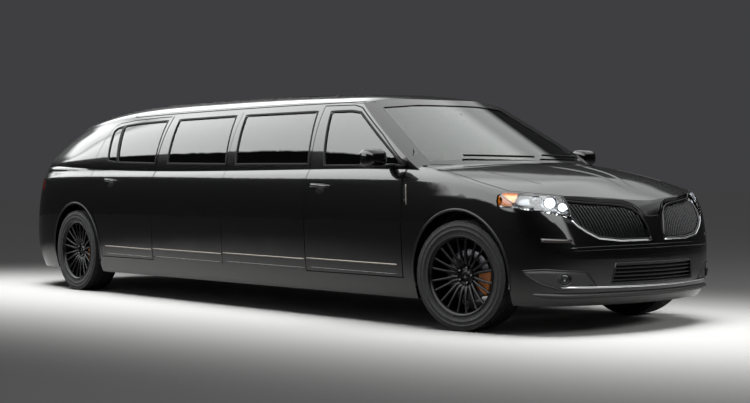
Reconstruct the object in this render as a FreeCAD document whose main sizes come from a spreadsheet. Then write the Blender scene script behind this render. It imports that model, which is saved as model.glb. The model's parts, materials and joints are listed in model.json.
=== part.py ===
import FreeCAD, Part
import math
import os
from FreeCAD import Vector

# A stretched luxury crossover limousine: four hinged doors, with two fixed window panels on each side between them.
# Frame: +X forward, +Y to the vehicle's left, +Z up, origin on the ground below the middle of the body.

SIZES = {
    "overall_length": 7483,
    "overall_width": 1930,
    "roof_height": 1712,
    "wheelbase": 5205,
    "front_overhang": 930,
    "shoulder_height": 1000,
    "hood_height": 1120,
    "belt_half_width": 900,
    "gutter_half_width": 700,
    "gutter_height": 1580,
    "side_wall": 62,
    "roof_wall": 38,
    "hood_wall": 26,
    "glass_thickness": 5,
    "glass_depth": 6,
    "glass_seat": 0.3,
    "pane_seat": 0.5,
    "door_gap": 7,
    "seam_width": 5,
    "door_sill_height": 335,
    "front_door_setback": 550,
    "front_door_length": 1108,
    "rear_door_setback": 3850,
    "rear_door_length": 1080,
    "track_width": 1660,
    "tyre_diameter": 738,
    "tyre_width": 250,
    "rim_diameter": 508,
    "rim_flange_diameter": 543,
    "wheel_well_radius": 430,
    "wheel_well_inner": 490,
    "kingpin_inset": 40,
    "steering_at_rest": 10.8,
    "floor_height": 235,
    "floor_thickness": 40,
    "hood_hinge_setback": 450,
    "hood_hinge_height": 1135,
    "hood_reach": 1330,
    "gate_hinge_setback": 5640,
    "gate_hinge_height": 1636,
    "gate_reach": 1365,
    "window_corner": 18,
    "fender_front_reach": 352,
    "a_pillar_base_height": 1104,
    "cowl_half_width": 850,
    "cowl_setback": 640,
    "side_panel_top": 1557,
    "stretch_split_setback": 2775,
    "rear_bumper_setback": 5700,
    "rear_bumper_top": 640,
    "tail_lamp_setback": 5890,
    "tail_lamp_base": 925,
    "tail_lamp_top": 1025,
    "hub_radius": 72,
    "hub_back": 30,
    "disc_radius": 175,
    "disc_thickness": 26,
    "disc_clearance": 6,
    "caliper_wall": 22,
    "rim_wall": 10,
    "spoke_face": 98,
    "spoke_depth": 24,
    "spoke_width": 15,
    "upright_thickness": 34,
    "upright_width": 90,
    "upright_height": 250,
    "firewall_setback": 433,
    "firewall_thickness": 20,
    "firewall_half_width": 845,
    "floor_end_setback": 6350,
    "liner_thickness": 6,
    "liner_outer": 820,
    "cowl_tray_height": 1040,
    "cowl_tray_thickness": 14,
    "cowl_tray_setback": 475,
    "cowl_tray_front": 390,
    "cowl_tray_half_width": 820,
    "rail_half_spacing": 450,
    "rail_width": 60,
    "rail_front_reach": 720,
    "arm_thickness": 24,
    "arm_height": 240,
    "subframe_half_length": 260,
    "subframe_depth": 40,
    "engine_length": 560,
    "engine_width": 700,
    "engine_height": 560,
    "pipe_radius": 28,
    "pipe_drop": 75,
    "pipe_front_setback": 700,
    "pipe_rear_setback": 6000,
    "pipe_offset": -300,
    "muffler_length": 420,
    "muffler_width": 240,
    "seat_depth": 520,
    "seat_height": 330,
    "seat_thickness": 150,
    "seat_back_height": 800,
    "headrest_top": 960,
    "seat_width": 520,
    "seat_offset": 390,
    "seat_edge_radius": 45,
    "front_seat_setback": 1180,
    "rear_seat_setback": 4050,
    "bench_width": 1500,
    "dash_depth": 420,
    "dash_width": 1560,
    "dash_height": 300,
    "dash_base": 720,
    "steering_wheel_setback": 1060,
    "steering_wheel_height": 960,
    "steering_wheel_radius": 180,
    "steering_rim_radius": 15,
    "column_length": 250,
    "grille_recess": 8,
    "grille_depth": 22,
    "grille_pitch": 26,
    "grille_bar": 8,
    "grille_frame": 10,
    "mirror_setback": 650,
    "mirror_top": 1222,
    "mirror_height": 135,
    "mirror_depth": 110,
    "mirror_width": 190,
    "mirror_start": 975,
    "mirror_arm": 36,
    "wiper_radius": 7,
    "wiper_lift": 5,
    "hinge_leaf": 18,
    "hinge_height": 60,
    "hinge_length": 40,
    "hinge_low": 460,
    "hinge_high": 880,
    "lamp_depth": 24,
    "least_solid_edge": 30,
    "gate_leaf_offset": 180,
    "gate_leaf_gap": 1.3,
    "gate_leaf_base": 1588,
    "hood_leaf_offset": 790,
    "overrun": 400,
}

doc = FreeCAD.newDocument("stretch_limousine")
sheet = doc.addObject("Spreadsheet::Sheet", "Sizes")
for row, (alias, value) in enumerate(SIZES.items(), start=1):
    sheet.set(f"A{row}", alias)
    sheet.set(f"B{row}", str(value))
    sheet.setAlias(f"B{row}", alias)
doc.recompute()


def size(alias):
    return float(getattr(sheet, alias))


HALF_LENGTH = size("overall_length") / 2
HALF_WIDTH = size("overall_width") / 2
FRONT_AXLE = HALF_LENGTH - size("front_overhang")
REAR_AXLE = FRONT_AXLE - size("wheelbase")
REAR_OVERHANG = REAR_AXLE + HALF_LENGTH
SHOULDER = size("shoulder_height")
OVERRUN = size("overrun")
DOWN, UP, FORWARD, LEFT = Vector(0, 0, -1), Vector(0, 0, 1), Vector(1, 0, 0), Vector(0, 1, 0)


def smooth_curve(knots, values):
    """Returns the natural cubic spline through the points as a function, held at its ends."""
    n = len(knots)
    gaps = [knots[i + 1] - knots[i] for i in range(n - 1)]
    upper, right = [0.0] * n, [0.0] * n
    for i in range(1, n - 1):
        pull = 6 * ((values[i + 1] - values[i]) / gaps[i] - (values[i] - values[i - 1]) / gaps[i - 1])
        pivot = 2 * (gaps[i - 1] + gaps[i]) - gaps[i - 1] * upper[i - 1]
        upper[i] = gaps[i] / pivot
        right[i] = (pull - gaps[i - 1] * right[i - 1]) / pivot
    bends = [0.0] * n
    for i in range(n - 2, 0, -1):
        bends[i] = right[i] - upper[i] * bends[i + 1]

    def at(u):
        u = min(max(u, knots[0]), knots[-1])
        i = 0
        while i < n - 2 and u > knots[i + 1]:
            i += 1
        h, a, b = gaps[i], knots[i + 1] - u, u - knots[i]
        return ((bends[i] * a ** 3 + bends[i + 1] * b ** 3) / (6 * h)
                + (values[i] / h - bends[i] * h / 6) * a + (values[i + 1] / h - bends[i + 1] * h / 6) * b)

    return at


def along_body(shares, unit):
    """A height or width as a function of x, from shares of the wheelbase ahead of the front axle."""
    points = sorted((FRONT_AXLE + a * size("wheelbase"), b * unit) for a, b in shares)
    return smooth_curve([p[0] for p in points], [p[1] for p in points])


# Lower body: horizontal outlines that step inwards from the plan outline by face and height
NOSE_SHARES = [(1.0, 0.0), (0.992, 0.15), (0.968, 0.31), (0.932, 0.466), (0.875, 0.63), (0.795, 0.765),
               (0.66, 0.872), (0.45, 0.943), (0.15, 0.98), (-0.30, 0.997)]
TAIL_SHARES = [(-0.4, 1.0), (0.0, 0.998), (0.3, 0.985), (0.5, 0.962), (0.62, 0.928), (0.74, 0.852),
               (0.85, 0.73), (0.935, 0.52), (0.982, 0.27), (1.0, 0.0)]
FLANK_SHARES = (0.25, 0.5, 0.75)
nose = [(FRONT_AXLE + a * size("front_overhang"), b * HALF_WIDTH) for a, b in NOSE_SHARES]
tail = [(REAR_AXLE - a * REAR_OVERHANG, b * HALF_WIDTH) for a, b in TAIL_SHARES]
flank = [(nose[-1][0] + (tail[0][0] - nose[-1][0]) * share, HALF_WIDTH) for share in FLANK_SHARES]
outline = nose + flank + tail
loop = [(x, -y) for x, y in outline[3:0:-1]] + outline + [(x, -y) for x, y in outline[-2:-5:-1]]
chords = [0.0]
for (x0, y0), (x1, y1) in zip(loop, loop[1:]):
    chords.append(chords[-1] + math.hypot(x1 - x0, y1 - y0))
plan_x = smooth_curve(chords, [p[0] for p in loop])
plan_y = smooth_curve(chords, [p[1] for p in loop])
NOSE_U, TAIL_U = chords[3], chords[-4]

FACE_INSET_SHARES = {
    "front": [(0.15, 0.13), (0.20, 0.07), (0.28, 0.022), (0.40, 0.004), (0.52, 0.0), (0.60, 0.010),
              (0.70, 0.040), (0.80, 0.075), (0.86, 0.11), (0.92, 0.165), (1.0, 0.24), (1.3, 0.5)],
    "side": [(0.15, 0.075), (0.20, 0.05), (0.28, 0.028), (0.40, 0.012), (0.52, 0.005), (0.62, 0.0),
             (0.75, 0.0), (0.85, 0.004), (0.95, 0.012), (1.05, 0.024), (1.3, 0.06)],
    "rear": [(0.15, 0.14), (0.20, 0.11), (0.28, 0.06), (0.40, 0.010), (0.52, 0.0), (0.60, 0.005),
             (0.70, 0.03), (0.80, 0.055), (0.90, 0.09), (1.0, 0.14), (1.1, 0.215), (1.3, 0.45)],
}
face_inset = {}
for face, table in FACE_INSET_SHARES.items():
    face_inset[face] = smooth_curve([a * SHOULDER for a, b in table], [b * SHOULDER for a, b in table])

CREASE_SHARES = [(0.18, 0.70), (0.12, 0.80), (0.077, 0.87), (0.0, 0.955), (-0.06, 0.985), (-0.15, 1.0),
                 (-0.5, 1.015), (-0.9, 1.035), (-1.05, 1.035), (-1.3, 1.00)]
CREASE_WIDTH_SHARE, CREASE_LEAN_SHARE, CREASE_ROLL_SHARE = 0.016, 0.20, 0.36
crease_z = along_body(CREASE_SHARES, SHOULDER)


def crease_inset(x, z):
    """The shoulder leans in above the crease line."""
    d = z - crease_z(x)
    above = (d + math.hypot(d, CREASE_WIDTH_SHARE * SHOULDER)) / 2
    return CREASE_LEAN_SHARE * above + above ** 2 / (CREASE_ROLL_SHARE * SHOULDER)


def inset(x, nx, z):
    front = nx * nx if nx > 0 else 0.0
    rear = abs(nx) ** 1.3 if nx < 0 else 0.0
    side = 1 - front - rear
    return (front * face_inset["front"](z) + rear * face_inset["rear"](z)
            + side * (face_inset["side"](z) + crease_inset(x, z)))


def plan_point(u):
    """Point and outward normal of the plan outline, u measured along it."""
    step_share = 1e-4
    step = step_share * HALF_LENGTH
    dx, dy = plan_x(u + step) - plan_x(u - step), plan_y(u + step) - plan_y(u - step)
    length = math.hypot(dx, dy)
    return plan_x(u), plan_y(u), dy / length, -dx / length


STATIONS = 36
STATION_PARAMETERS = [k / (2 * STATIONS) for k in range(2 * STATIONS + 1)]


def station(k):
    """Places along the half outline, closer together round both ends."""
    share = k / STATIONS
    return NOSE_U + (TAIL_U - NOSE_U) * (share - 0.11 * math.sin(2 * math.pi * share))


half_plan = [plan_point(station(k)) for k in range(STATIONS + 1)]
half_plan[0] = (half_plan[0][0], 0.0, 1.0, 0.0)
half_plan[-1] = (half_plan[-1][0], 0.0, -1.0, 0.0)


def level_wire(z, depth):
    """The closed outline of the lower body at height z, set in by a further depth."""
    left = []
    for x, y, nx, ny in half_plan:
        d = inset(x, nx, z) + depth
        left.append(Vector(x - nx * d, y - ny * d, z))
    right = [Vector(p.x, -p.y, p.z) for p in left[-2:0:-1]]
    curve = Part.BSplineCurve()
    curve.interpolate(Points=left + right, PeriodicFlag=True, Parameters=STATION_PARAMETERS)
    return Part.Wire([curve.toShape()])


LEVEL_SHARES = [0.15, 0.19, 0.24, 0.31, 0.41, 0.53, 0.65, 0.76, 0.85, 0.91, 0.95, 0.98, 1.005, 1.03, 1.06,
                1.10, 1.15, 1.22]


def lower_body(depth, bottom_share=LEVEL_SHARES[1]):
    shares = [share for share in LEVEL_SHARES if share >= bottom_share]
    return Part.makeLoft([level_wire(share * SHOULDER, depth) for share in shares], True, False)


# Top of the lower body: hood, cowl, belt line and tail deck
HOOD_SHARES = [(0.185, 0.66), (0.171, 0.724), (0.155, 0.775), (0.130, 0.835), (0.107, 0.885), (0.06, 0.945),
               (0.0, 0.985), (-0.045, 1.003), (-0.09, 1.01), (-0.3, 1.015), (-0.9, 1.05), (-1.1, 1.05),
               (-1.3, 1.02)]
RIM_SHARES = [(0.185, 0.60), (0.171, 0.66), (0.155, 0.70), (0.130, 0.75), (0.107, 0.79), (0.06, 0.85),
              (0.0, 0.915), (-0.045, 0.955), (-0.09, 0.98), (-0.21, 0.987), (-0.545, 1.015), (-0.865, 1.043),
              (-1.0, 1.06), (-1.1, 1.055), (-1.3, 1.02)]
hood_z = along_body(HOOD_SHARES, size("hood_height"))
rim_z = along_body(RIM_SHARES, size("hood_height"))
RIM_WIDTH_SHARE, CROWN_POWER = 0.9, 2.2


def top_z(x, y):
    share = abs(y) / (RIM_WIDTH_SHARE * HALF_WIDTH)
    return hood_z(x) - (hood_z(x) - rim_z(x)) * min(share, 1.3) ** CROWN_POWER


def grid_face(rows):
    surface = Part.BSplineSurface()
    surface.interpolate(rows)
    return surface.toShape()


def top_block(drop):
    """Everything above the hood, belt and deck surface, lowered by drop."""
    xs = [HALF_LENGTH * (1.03 - 2.06 * k / 60) for k in range(61)]
    ys = [HALF_WIDTH * (-1.1 + 2.2 * k / 16) for k in range(17)]
    face = grid_face([[Vector(x, y, top_z(x, y) - drop) for y in ys] for x in xs])
    return face.extrude(UP * size("roof_height"))


# Greenhouse: arches across the body, trimmed by the windscreen and the rear window
BELT_WIDTH_SHARES = [(0.1, 1.0), (-0.3, 1.0), (-0.865, 1.0), (-0.95, 0.995), (-1.02, 0.98), (-1.08, 0.945),
                     (-1.14, 0.88), (-1.2, 0.78), (-1.26, 0.66)]
GUTTER_WIDTH_SHARES = [(0.1, 1.0), (-0.85, 1.0), (-0.93, 0.985), (-1.0, 0.945), (-1.07, 0.87), (-1.14, 0.76),
                       (-1.2, 0.63), (-1.26, 0.5)]
GUTTER_HEIGHT_SHARES = [(0.1, 0.90), (-0.1, 0.94), (-0.2, 0.975), (-0.25, 0.987), (-0.327, 0.997), (-0.5, 1.0),
                        (-0.65, 0.998), (-0.8, 0.993), (-0.92, 0.978), (-1.0, 0.957), (-1.08, 0.93),
                        (-1.15, 0.90), (-1.26, 0.85)]
ROOF_SHARES = [(0.1, 0.80), (-0.1, 0.86), (-0.2, 0.916), (-0.225, 0.938), (-0.26, 0.958), (-0.346, 0.978),
               (-0.5, 0.992), (-0.65, 0.998), (-0.8, 1.0), (-0.92, 0.994), (-1.0, 0.978), (-1.08, 0.952),
               (-1.15, 0.92), (-1.26, 0.87)]
belt_y = along_body(BELT_WIDTH_SHARES, size("belt_half_width"))
gutter_y = along_body(GUTTER_WIDTH_SHARES, size("gutter_half_width"))
gutter_z = along_body(GUTTER_HEIGHT_SHARES, size("gutter_height"))
roof_z = along_body(ROOF_SHARES, size("roof_height"))
ARCH_SHARES = [(1.0, 0.0, 0.0), (0.946, 0.295, 0.0), (0.786, 0.6, 0.0), (0.486, 0.88, 0.0), (0.0, 1.0, 0.0)]
PANE_SHARES = [(0.0, 0.0), (0.30, 0.36), (0.66, 0.72)]
PANE_BULGE_SHARE, SKIRT_SHARE = 0.012, 0.15


def arch_points(x):
    """Half of the arch across the body at x, from below the belt to the middle of the roof."""
    belt, gutter = Vector(x, belt_y(x), rim_z(x)), Vector(x, gutter_y(x), gutter_z(x))
    points = [Vector(x, belt.y, belt.z - SKIRT_SHARE * SHOULDER)]
    for inward, rise in PANE_SHARES:
        bulge = PANE_BULGE_SHARE * SHOULDER * math.sin(math.pi * rise)
        points.append(Vector(x, belt.y + (gutter.y - belt.y) * inward + bulge, belt.z + (gutter.z - belt.z) * rise))
    for across, rise, _ in ARCH_SHARES:
        points.append(Vector(x, gutter.y * across, gutter.z + (roof_z(x) - gutter.z) * rise))
    return points


ARCH_STATION_SHARES = [0.0, -0.1, -0.19, -0.25, -0.33, -0.5, -0.7, -0.85, -0.95, -1.03, -1.10, -1.17, -1.25]


def arch_wire(x, depth):
    half = arch_points(x)
    points = half + [Vector(p.x, -p.y, p.z) for p in half[-2::-1]]
    if depth:
        moved = []
        for i, p in enumerate(points):
            a, b = points[max(i - 1, 0)], points[min(i + 1, len(points) - 1)]
            run = (b - a).normalize()
            moved.append(p - Vector(0, run.z, -run.y) * depth)
        points = moved
    curve = Part.BSplineCurve()
    last = len(points) - 1
    curve.interpolate(Points=points, Parameters=[k / last for k in range(last + 1)])
    return Part.Wire([curve.toShape(), Part.makeLine(points[-1], points[0])])


def greenhouse(depth):
    wires = [arch_wire(FRONT_AXLE + share * size("wheelbase"), depth) for share in ARCH_STATION_SHARES]
    return Part.makeLoft(wires, True, False)


SCREEN_BASE_SHARE, SCREEN_BASE_HEIGHT_SHARE, SCREEN_RAKE, SCREEN_WRAP_SHARE = -0.048, 1.12, 1.909, 0.317
BACK_BASE_SHARE, BACK_BASE_HEIGHT_SHARE, BACK_RAKE, BACK_WRAP_SHARE = -1.2145, 1.117, 1.20, 0.40


def screen_x(y, z):
    return (FRONT_AXLE + SCREEN_BASE_SHARE * size("wheelbase") - (z - SCREEN_BASE_HEIGHT_SHARE * SHOULDER) * SCREEN_RAKE
            - SCREEN_WRAP_SHARE * y * y / SHOULDER)


def back_x(y, z):
    return (FRONT_AXLE + BACK_BASE_SHARE * size("wheelbase") + (z - BACK_BASE_HEIGHT_SHARE * SHOULDER) * BACK_RAKE
            + BACK_WRAP_SHARE * y * y / SHOULDER)


def trim_block(surface_x, rake, depth, away):
    """Everything beyond the windscreen or rear window surface, brought in by depth."""
    lean = math.hypot(1, rake)
    shift = Vector(-away * depth / lean, 0, -depth * rake / lean)
    ys = [HALF_WIDTH * (-1.1 + 2.2 * k / 12) for k in range(13)]
    zs = [SHOULDER * (0.75 + 1.1 * k / 6) for k in range(7)]
    face = grid_face([[Vector(surface_x(y, z), y, z) + shift for z in zs] for y in ys])
    return face.extrude(Vector(away * HALF_LENGTH, 0, 0))


def body_forms(depth, roof_depth, hood_depth, bottom_share=LEVEL_SHARES[1]):
    """The lower body and the greenhouse, set in from the outer surface."""
    lower = lower_body(depth, bottom_share).cut(top_block(hood_depth))
    upper = greenhouse(roof_depth)
    upper = upper.cut(trim_block(screen_x, SCREEN_RAKE, roof_depth, 1))
    upper = upper.cut(trim_block(back_x, BACK_RAKE, roof_depth, -1))
    return lower, upper


def block(x0, x1, y0, y1, z0, z1):
    return Part.makeBox(x1 - x0, y1 - y0, z1 - z0, Vector(x0, y0, z0))


def behind(setback):
    """x of a place that lies this far behind the front axle."""
    return FRONT_AXLE - setback


def mirrored(shape):
    return shape.mirror(Vector(0, 0, 0), LEFT)


def both_sides(shape):
    return [shape, mirrored(shape)]


def polygon(points, place):
    """A closed polygon face, its 2-D points put in space by place."""
    return Part.Face(Part.makePolygon([place(*p) for p in points + points[:1]]))


def rounded(points, radius, place):
    """A closed polygon face with its corners rounded."""
    edges, starts, n = [], [], len(points)
    for i in range(n):
        before, corner, after = (Vector(*points[(i + k) % n], 0) for k in (-1, 0, 1))
        into, out = (corner - before).normalize(), (after - corner).normalize()
        turn = math.acos(max(-1.0, min(1.0, into.dot(out))))
        back = min(radius * math.tan(turn / 2), 0.45 * (corner - before).Length, 0.45 * (after - corner).Length)
        enter, leave = corner - into * back, corner + out * back
        half_way = (enter + leave) * 0.5
        sag = (corner - half_way).Length / (1 + 1 / max(math.cos(turn / 2), 1e-9))
        middle = half_way + (corner - half_way).normalize() * sag
        starts.append((enter, middle, leave))
    for i in range(n):
        enter, middle, leave = starts[i]
        edges.append(Part.Arc(place(enter.x, enter.y), place(middle.x, middle.y), place(leave.x, leave.y)).toShape())
        following = starts[(i + 1) % n][0]
        edges.append(Part.makeLine(place(leave.x, leave.y), place(following.x, following.y)))
    return Part.Face(Part.Wire(edges))


def grown(points, by):
    """A polygon moved outwards by a clearance, mitred at its corners; its points run anticlockwise."""
    result, n = [], len(points)
    for i in range(n):
        before, corner, after = (Vector(*points[(i + k) % n], 0) for k in (-1, 0, 1))
        into, out = (corner - before).normalize(), (after - corner).normalize()
        normal = (Vector(into.y, -into.x, 0) + Vector(out.y, -out.x, 0))
        normal = normal * (2 / normal.dot(normal)) if normal.Length > 1e-6 else normal
        moved = corner + normal * by
        result.append((moved.x, moved.y))
    return result


# Panel outlines, as distances from the axes that the panels swing about
DOOR_INNER_SHARES = [(0.845, 0.0), (0.845, 0.72), (0.65, 0.985), (0.60, 1.1)]
ROOF_TOP = size("roof_height")
DOOR_LENGTH, REAR_DOOR_LENGTH = size("front_door_length"), size("rear_door_length")
SILL, GUTTER = size("door_sill_height"), size("gutter_height")
FRONT_DOOR_SHARES = [(1.0, 0.715), (1.056, 0.989), (0.756, 0.985), (0.670, 0.971), (0.340, 0.838), (0.06, 0.708)]
REAR_DOOR_SHARES = [(0.81, 0.253), (0.831, 0.329), (0.887, 0.411), (0.958, 0.465), (1.0, 0.506), (1.002, 0.759),
                    (0.958, 0.953), (0.892, 0.967), (0.657, 0.979), (0.282, 0.986)]
front_door_profile = [(0.0, SILL), (DOOR_LENGTH, SILL)]
front_door_profile += [(a * DOOR_LENGTH, b * GUTTER) for a, b in FRONT_DOOR_SHARES]
front_door_profile += [(0.0, FRONT_DOOR_SHARES[-1][1] * GUTTER)]
rear_door_profile = [(0.0, SILL), (0.803 * REAR_DOOR_LENGTH, SILL)]
rear_door_profile += [(a * REAR_DOOR_LENGTH, b * GUTTER) for a, b in REAR_DOOR_SHARES]
rear_door_profile += [(0.0, REAR_DOOR_SHARES[-1][1] * GUTTER)]


def door_zone(setback, profile, clearance):
    """All that a right-hand door takes up: a turned form about its hinge line, behind that line."""
    hinge = Vector(behind(setback), -HALF_WIDTH, 0)
    points = grown(profile, clearance) if clearance else profile
    face = polygon([(max(r, 0.0), z) for r, z in points], lambda r, z: hinge + Vector(-r, 0, z))
    face.rotate(hinge, UP, 4)
    inner = [(clearance - a * HALF_WIDTH, b * GUTTER) for a, b in DOOR_INNER_SHARES]
    section = [(-2 * HALF_WIDTH, inner[-1][1]), (-2 * HALF_WIDTH, 0)] + inner
    outside = polygon(section, lambda y, z: Vector(-HALF_LENGTH, y, z)).extrude(FORWARD * size("overall_length"))
    return face.revolve(hinge, UP, -86).common(outside)


HOOD_HINGE = Vector(behind(size("hood_hinge_setback")), 0, size("hood_hinge_height"))
HOOD_REACH = size("hood_reach")
HOOD_ZONE_SHARES = [(0.215, 0.0), (0.12, 0.40), (0.02, 0.60), (0.01, 0.637), (0.46, 0.655), (0.66, 0.645),
                    (0.767, 0.578), (0.858, 0.462), (0.926, 0.299), (0.962, 0.157), (0.985, 0.105), (1.03, 0.045),
                    (1.032, 0.0)]
GATE_HINGE = Vector(behind(size("gate_hinge_setback")), 0, size("gate_hinge_height"))
GATE_REACH = size("gate_reach")
GATE_ZONE_SHARES = [(0.006, 0.0), (0.006, 0.36), (0.15, 0.395), (0.62, 0.50), (0.70, 0.51), (1.0, 0.51), (1.0, 0.0)]


def lid_zone(hinge, shares, reach, forward, clearance):
    """All that the hood or liftgate takes up: a turned form about a hinge line that runs across the body."""
    half = [(a * reach, b * reach) for a, b in shares]
    points = [(r, y) for r, y in half] + [(r, -y) for r, y in half[-2:0:-1]]
    points = points[::-1]
    points = grown(points, clearance) if clearance else points
    face = polygon([(max(r, 0.0), y) for r, y in points], lambda r, y: hinge + Vector(forward * r, y, 0))
    face.rotate(hinge, LEFT, -4 * forward)
    return face.revolve(hinge, LEFT, 60 * forward if forward > 0 else -94)


def by_size(shape):
    """The solids of a shape, the largest first, without the slivers that a cut can leave."""
    least = size("least_solid_edge") ** 3 / 2
    return sorted([s for s in shape.Solids if s.Volume > least], key=lambda s: -s.Volume)


def joined(shapes):
    first, *others = shapes
    return first.multiFuse(others).removeSplitter() if others else first


def store(label, shape):
    """Puts a finished shape in the document as a sub-part of its own."""
    feature = doc.addObject("Part::Feature", label)
    feature.Label = label
    feature.Shape = Part.makeCompound(shape.Solids) if len(shape.Solids) > 1 else shape.Solids[0]
    return feature


def side_prism(points, radius=0.0, near=0.60, far=1.2):
    """A prism across the right-hand side; its points are (setback from the front axle, height)."""
    place = lambda setback, z: Vector(behind(setback), -far * HALF_WIDTH, z)
    face = rounded(points, radius, place) if radius else polygon(points, place)
    return face.extrude(LEFT * (far - near) * HALF_WIDTH)


def front_prism(points, radius, x0, x1):
    """A prism along the body; its points are (y, z)."""
    place = lambda y, z: Vector(x0, y, z)
    face = rounded(points, radius, place) if radius else polygon(points, place)
    return face.extrude(FORWARD * (x1 - x0))


def shrunk(points, by):
    return grown(points, -by)


GAP = size("door_gap")
FIT, PANE = size("glass_seat"), size("pane_seat")

# Side windows, each as (setback from the front axle, height) in shares of the wheelbase and the gutter height
WINDOW_SHARES = {
    "front_door": [[(0.1165, 0.703), (0.2865, 0.7085), (0.3055, 0.958), (0.2600, 0.956), (0.2390, 0.946)]],
    "stretch_front": [[(0.3265, 0.717), (0.5080, 0.723), (0.5205, 0.965), (0.3400, 0.962)]],
    "stretch_rear": [[(0.5375, 0.724), (0.7050, 0.734), (0.7150, 0.964), (0.5500, 0.966)]],
    "rear_door": [[(0.7460, 0.736), (0.8640, 0.746), (0.8930, 0.949), (0.8500, 0.957), (0.7530, 0.963)],
                  [(0.8710, 0.747), (0.9000, 0.757), (0.9235, 0.925), (0.9180, 0.938), (0.9000, 0.947)]],
}


def window_points(shares):
    """Anticlockwise seen from the right, so that setback runs to the left."""
    return [(a * size("wheelbase"), b * size("gutter_height")) for a, b in shares]


def windows_of(panel, margin):
    cuts = []
    for shares in WINDOW_SHARES[panel]:
        points = shrunk(window_points(shares), margin) if margin else window_points(shares)
        cuts.append(side_prism(points, size("window_corner")))
    return cuts


outer_lower, outer_upper = body_forms(0.0, 0.0, 0.0)
inner_lower, inner_upper = body_forms(size("side_wall"), size("roof_wall"), size("hood_wall"), LEVEL_SHARES[0])
glass_outer = body_forms(0.0, size("glass_depth"), 0.0)[1]
glass_inner = body_forms(0.0, size("glass_depth") + size("glass_thickness"), 0.0)[1]
shell = outer_lower.fuse(outer_upper).cut(inner_lower.fuse(inner_upper))
glass_layer = glass_outer.cut(glass_inner)

front_door_zone = door_zone(size("front_door_setback"), front_door_profile, 0)
front_door_room = door_zone(size("front_door_setback"), front_door_profile, GAP)
rear_door_zone = door_zone(size("rear_door_setback"), rear_door_profile, 0)
rear_door_room = door_zone(size("rear_door_setback"), rear_door_profile, GAP)
hood_zone = lid_zone(HOOD_HINGE, HOOD_ZONE_SHARES, HOOD_REACH, 1, 0)
hood_room = lid_zone(HOOD_HINGE, HOOD_ZONE_SHARES, HOOD_REACH, 1, GAP)
gate_zone = lid_zone(GATE_HINGE, GATE_ZONE_SHARES, GATE_REACH, -1, 0)
gate_room = lid_zone(GATE_HINGE, GATE_ZONE_SHARES, GATE_REACH, -1, GAP)

# Right half of the shell, then the pieces that each door, lid and seam cuts from it
right_side = shell.common(block(-HALF_LENGTH - OVERRUN, HALF_LENGTH + OVERRUN, -HALF_WIDTH - OVERRUN, 0, 0, 2 * ROOF_TOP))
front_door = by_size(right_side.common(front_door_zone).cut(windows_of("front_door", 0)))[0]
rear_door = by_size(right_side.common(rear_door_zone).cut(windows_of("rear_door", 0)))[0]
hinge_planes = []
for setback, profile in ((size("front_door_setback"), front_door_profile), (size("rear_door_setback"), rear_door_profile)):
    x = behind(setback)
    hinge_planes.append(block(x - GAP, x + GAP, -HALF_WIDTH - OVERRUN, -OVERRUN, SILL - GAP, profile[-1][1] + GAP))
rest = right_side.cut([front_door_room, rear_door_room, hood_room, gate_room] + hinge_planes)

WELL_RADIUS, AXLE_HEIGHT = size("wheel_well_radius"), size("tyre_diameter") / 2
wells = []
for axle in (FRONT_AXLE, REAR_AXLE):
    reach = HALF_WIDTH - size("wheel_well_inner") + OVERRUN
    middle = Vector(axle, -size("wheel_well_inner"), AXLE_HEIGHT)
    round_part = Part.makeCylinder(WELL_RADIUS, reach, middle, Vector(0, -1, 0))
    below = block(axle - WELL_RADIUS, axle + WELL_RADIUS, middle.y - reach, middle.y, -OVERRUN, AXLE_HEIGHT)
    wells.append(round_part.fuse(below))
rest = rest.cut(wells)

FENDER_FRONT, FENDER_REAR = FRONT_AXLE + size("fender_front_reach"), behind(size("front_door_setback"))
FAR = HALF_LENGTH + OVERRUN
WIDE = HALF_WIDTH + OVERRUN
COWL_EDGE = size("cowl_half_width")
SILL_TOP = SILL - GAP
BELT_FRONT = size("a_pillar_base_height")

LAMP_SHARES = [(-0.403, 0.862), (-0.392, 0.826), (-0.262, 0.817), (-0.083, 0.790), (0.022, 0.768), (0.079, 0.741),
               (0.046, 0.845), (0.010, 0.893), (-0.187, 0.915), (-0.346, 0.920), (-0.395, 0.905)]
WING_SHARES = [(0.064, 0.612), (0.323, 0.613), (0.481, 0.632), (0.552, 0.671), (0.609, 0.714), (0.636, 0.76),
               (0.625, 0.90), (0.416, 0.89), (0.218, 0.865), (0.152, 0.833), (0.115, 0.789), (0.082, 0.712)]
INTAKE_SHARES = [(-0.40, 0.332), (0.40, 0.332), (0.375, 0.458), (-0.375, 0.458)]


def lamp_prism(points):
    """A prism along the corner's diagonal; points are (distance along the corner's face, height)."""
    along, out = Vector(1, 1, 0).normalize(), Vector(1, -1, 0).normalize()
    middle = Vector(FRONT_AXLE, 0, 0)
    place = lambda s, z: middle + along * s + out * (0.2 * SHOULDER) + Vector(0, 0, z)
    return polygon(points, place).extrude(out * (1.4 * SHOULDER))


lamp_points = [(a * SHOULDER, b * SHOULDER) for a, b in LAMP_SHARES]
wing_points = [(-a * SHOULDER, b * SHOULDER) for a, b in WING_SHARES][::-1]
intake_points = [(a * SHOULDER, b * SHOULDER) for a, b in INTAKE_SHARES]
lamp_zone = lamp_prism(lamp_points)
wing_zone = front_prism(wing_points, 0, FRONT_AXLE + 0.4 * SHOULDER, FAR)
intake_zone = front_prism(intake_points, size("window_corner"), FRONT_AXLE + 0.4 * SHOULDER, FAR)

fender = rest.common(block(FENDER_REAR, FENDER_FRONT, -WIDE, -COWL_EDGE, SILL_TOP, BELT_FRONT)).cut(lamp_zone)
front_piece = rest.common(block(FENDER_FRONT, FAR, -WIDE, 0, 0, 2 * SHOULDER))
headlamp = front_piece.common(lamp_zone)
bumper_half, *strips = by_size(front_piece.cut([lamp_zone, wing_zone, intake_zone]))
fender = joined([fender] + strips)

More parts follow.
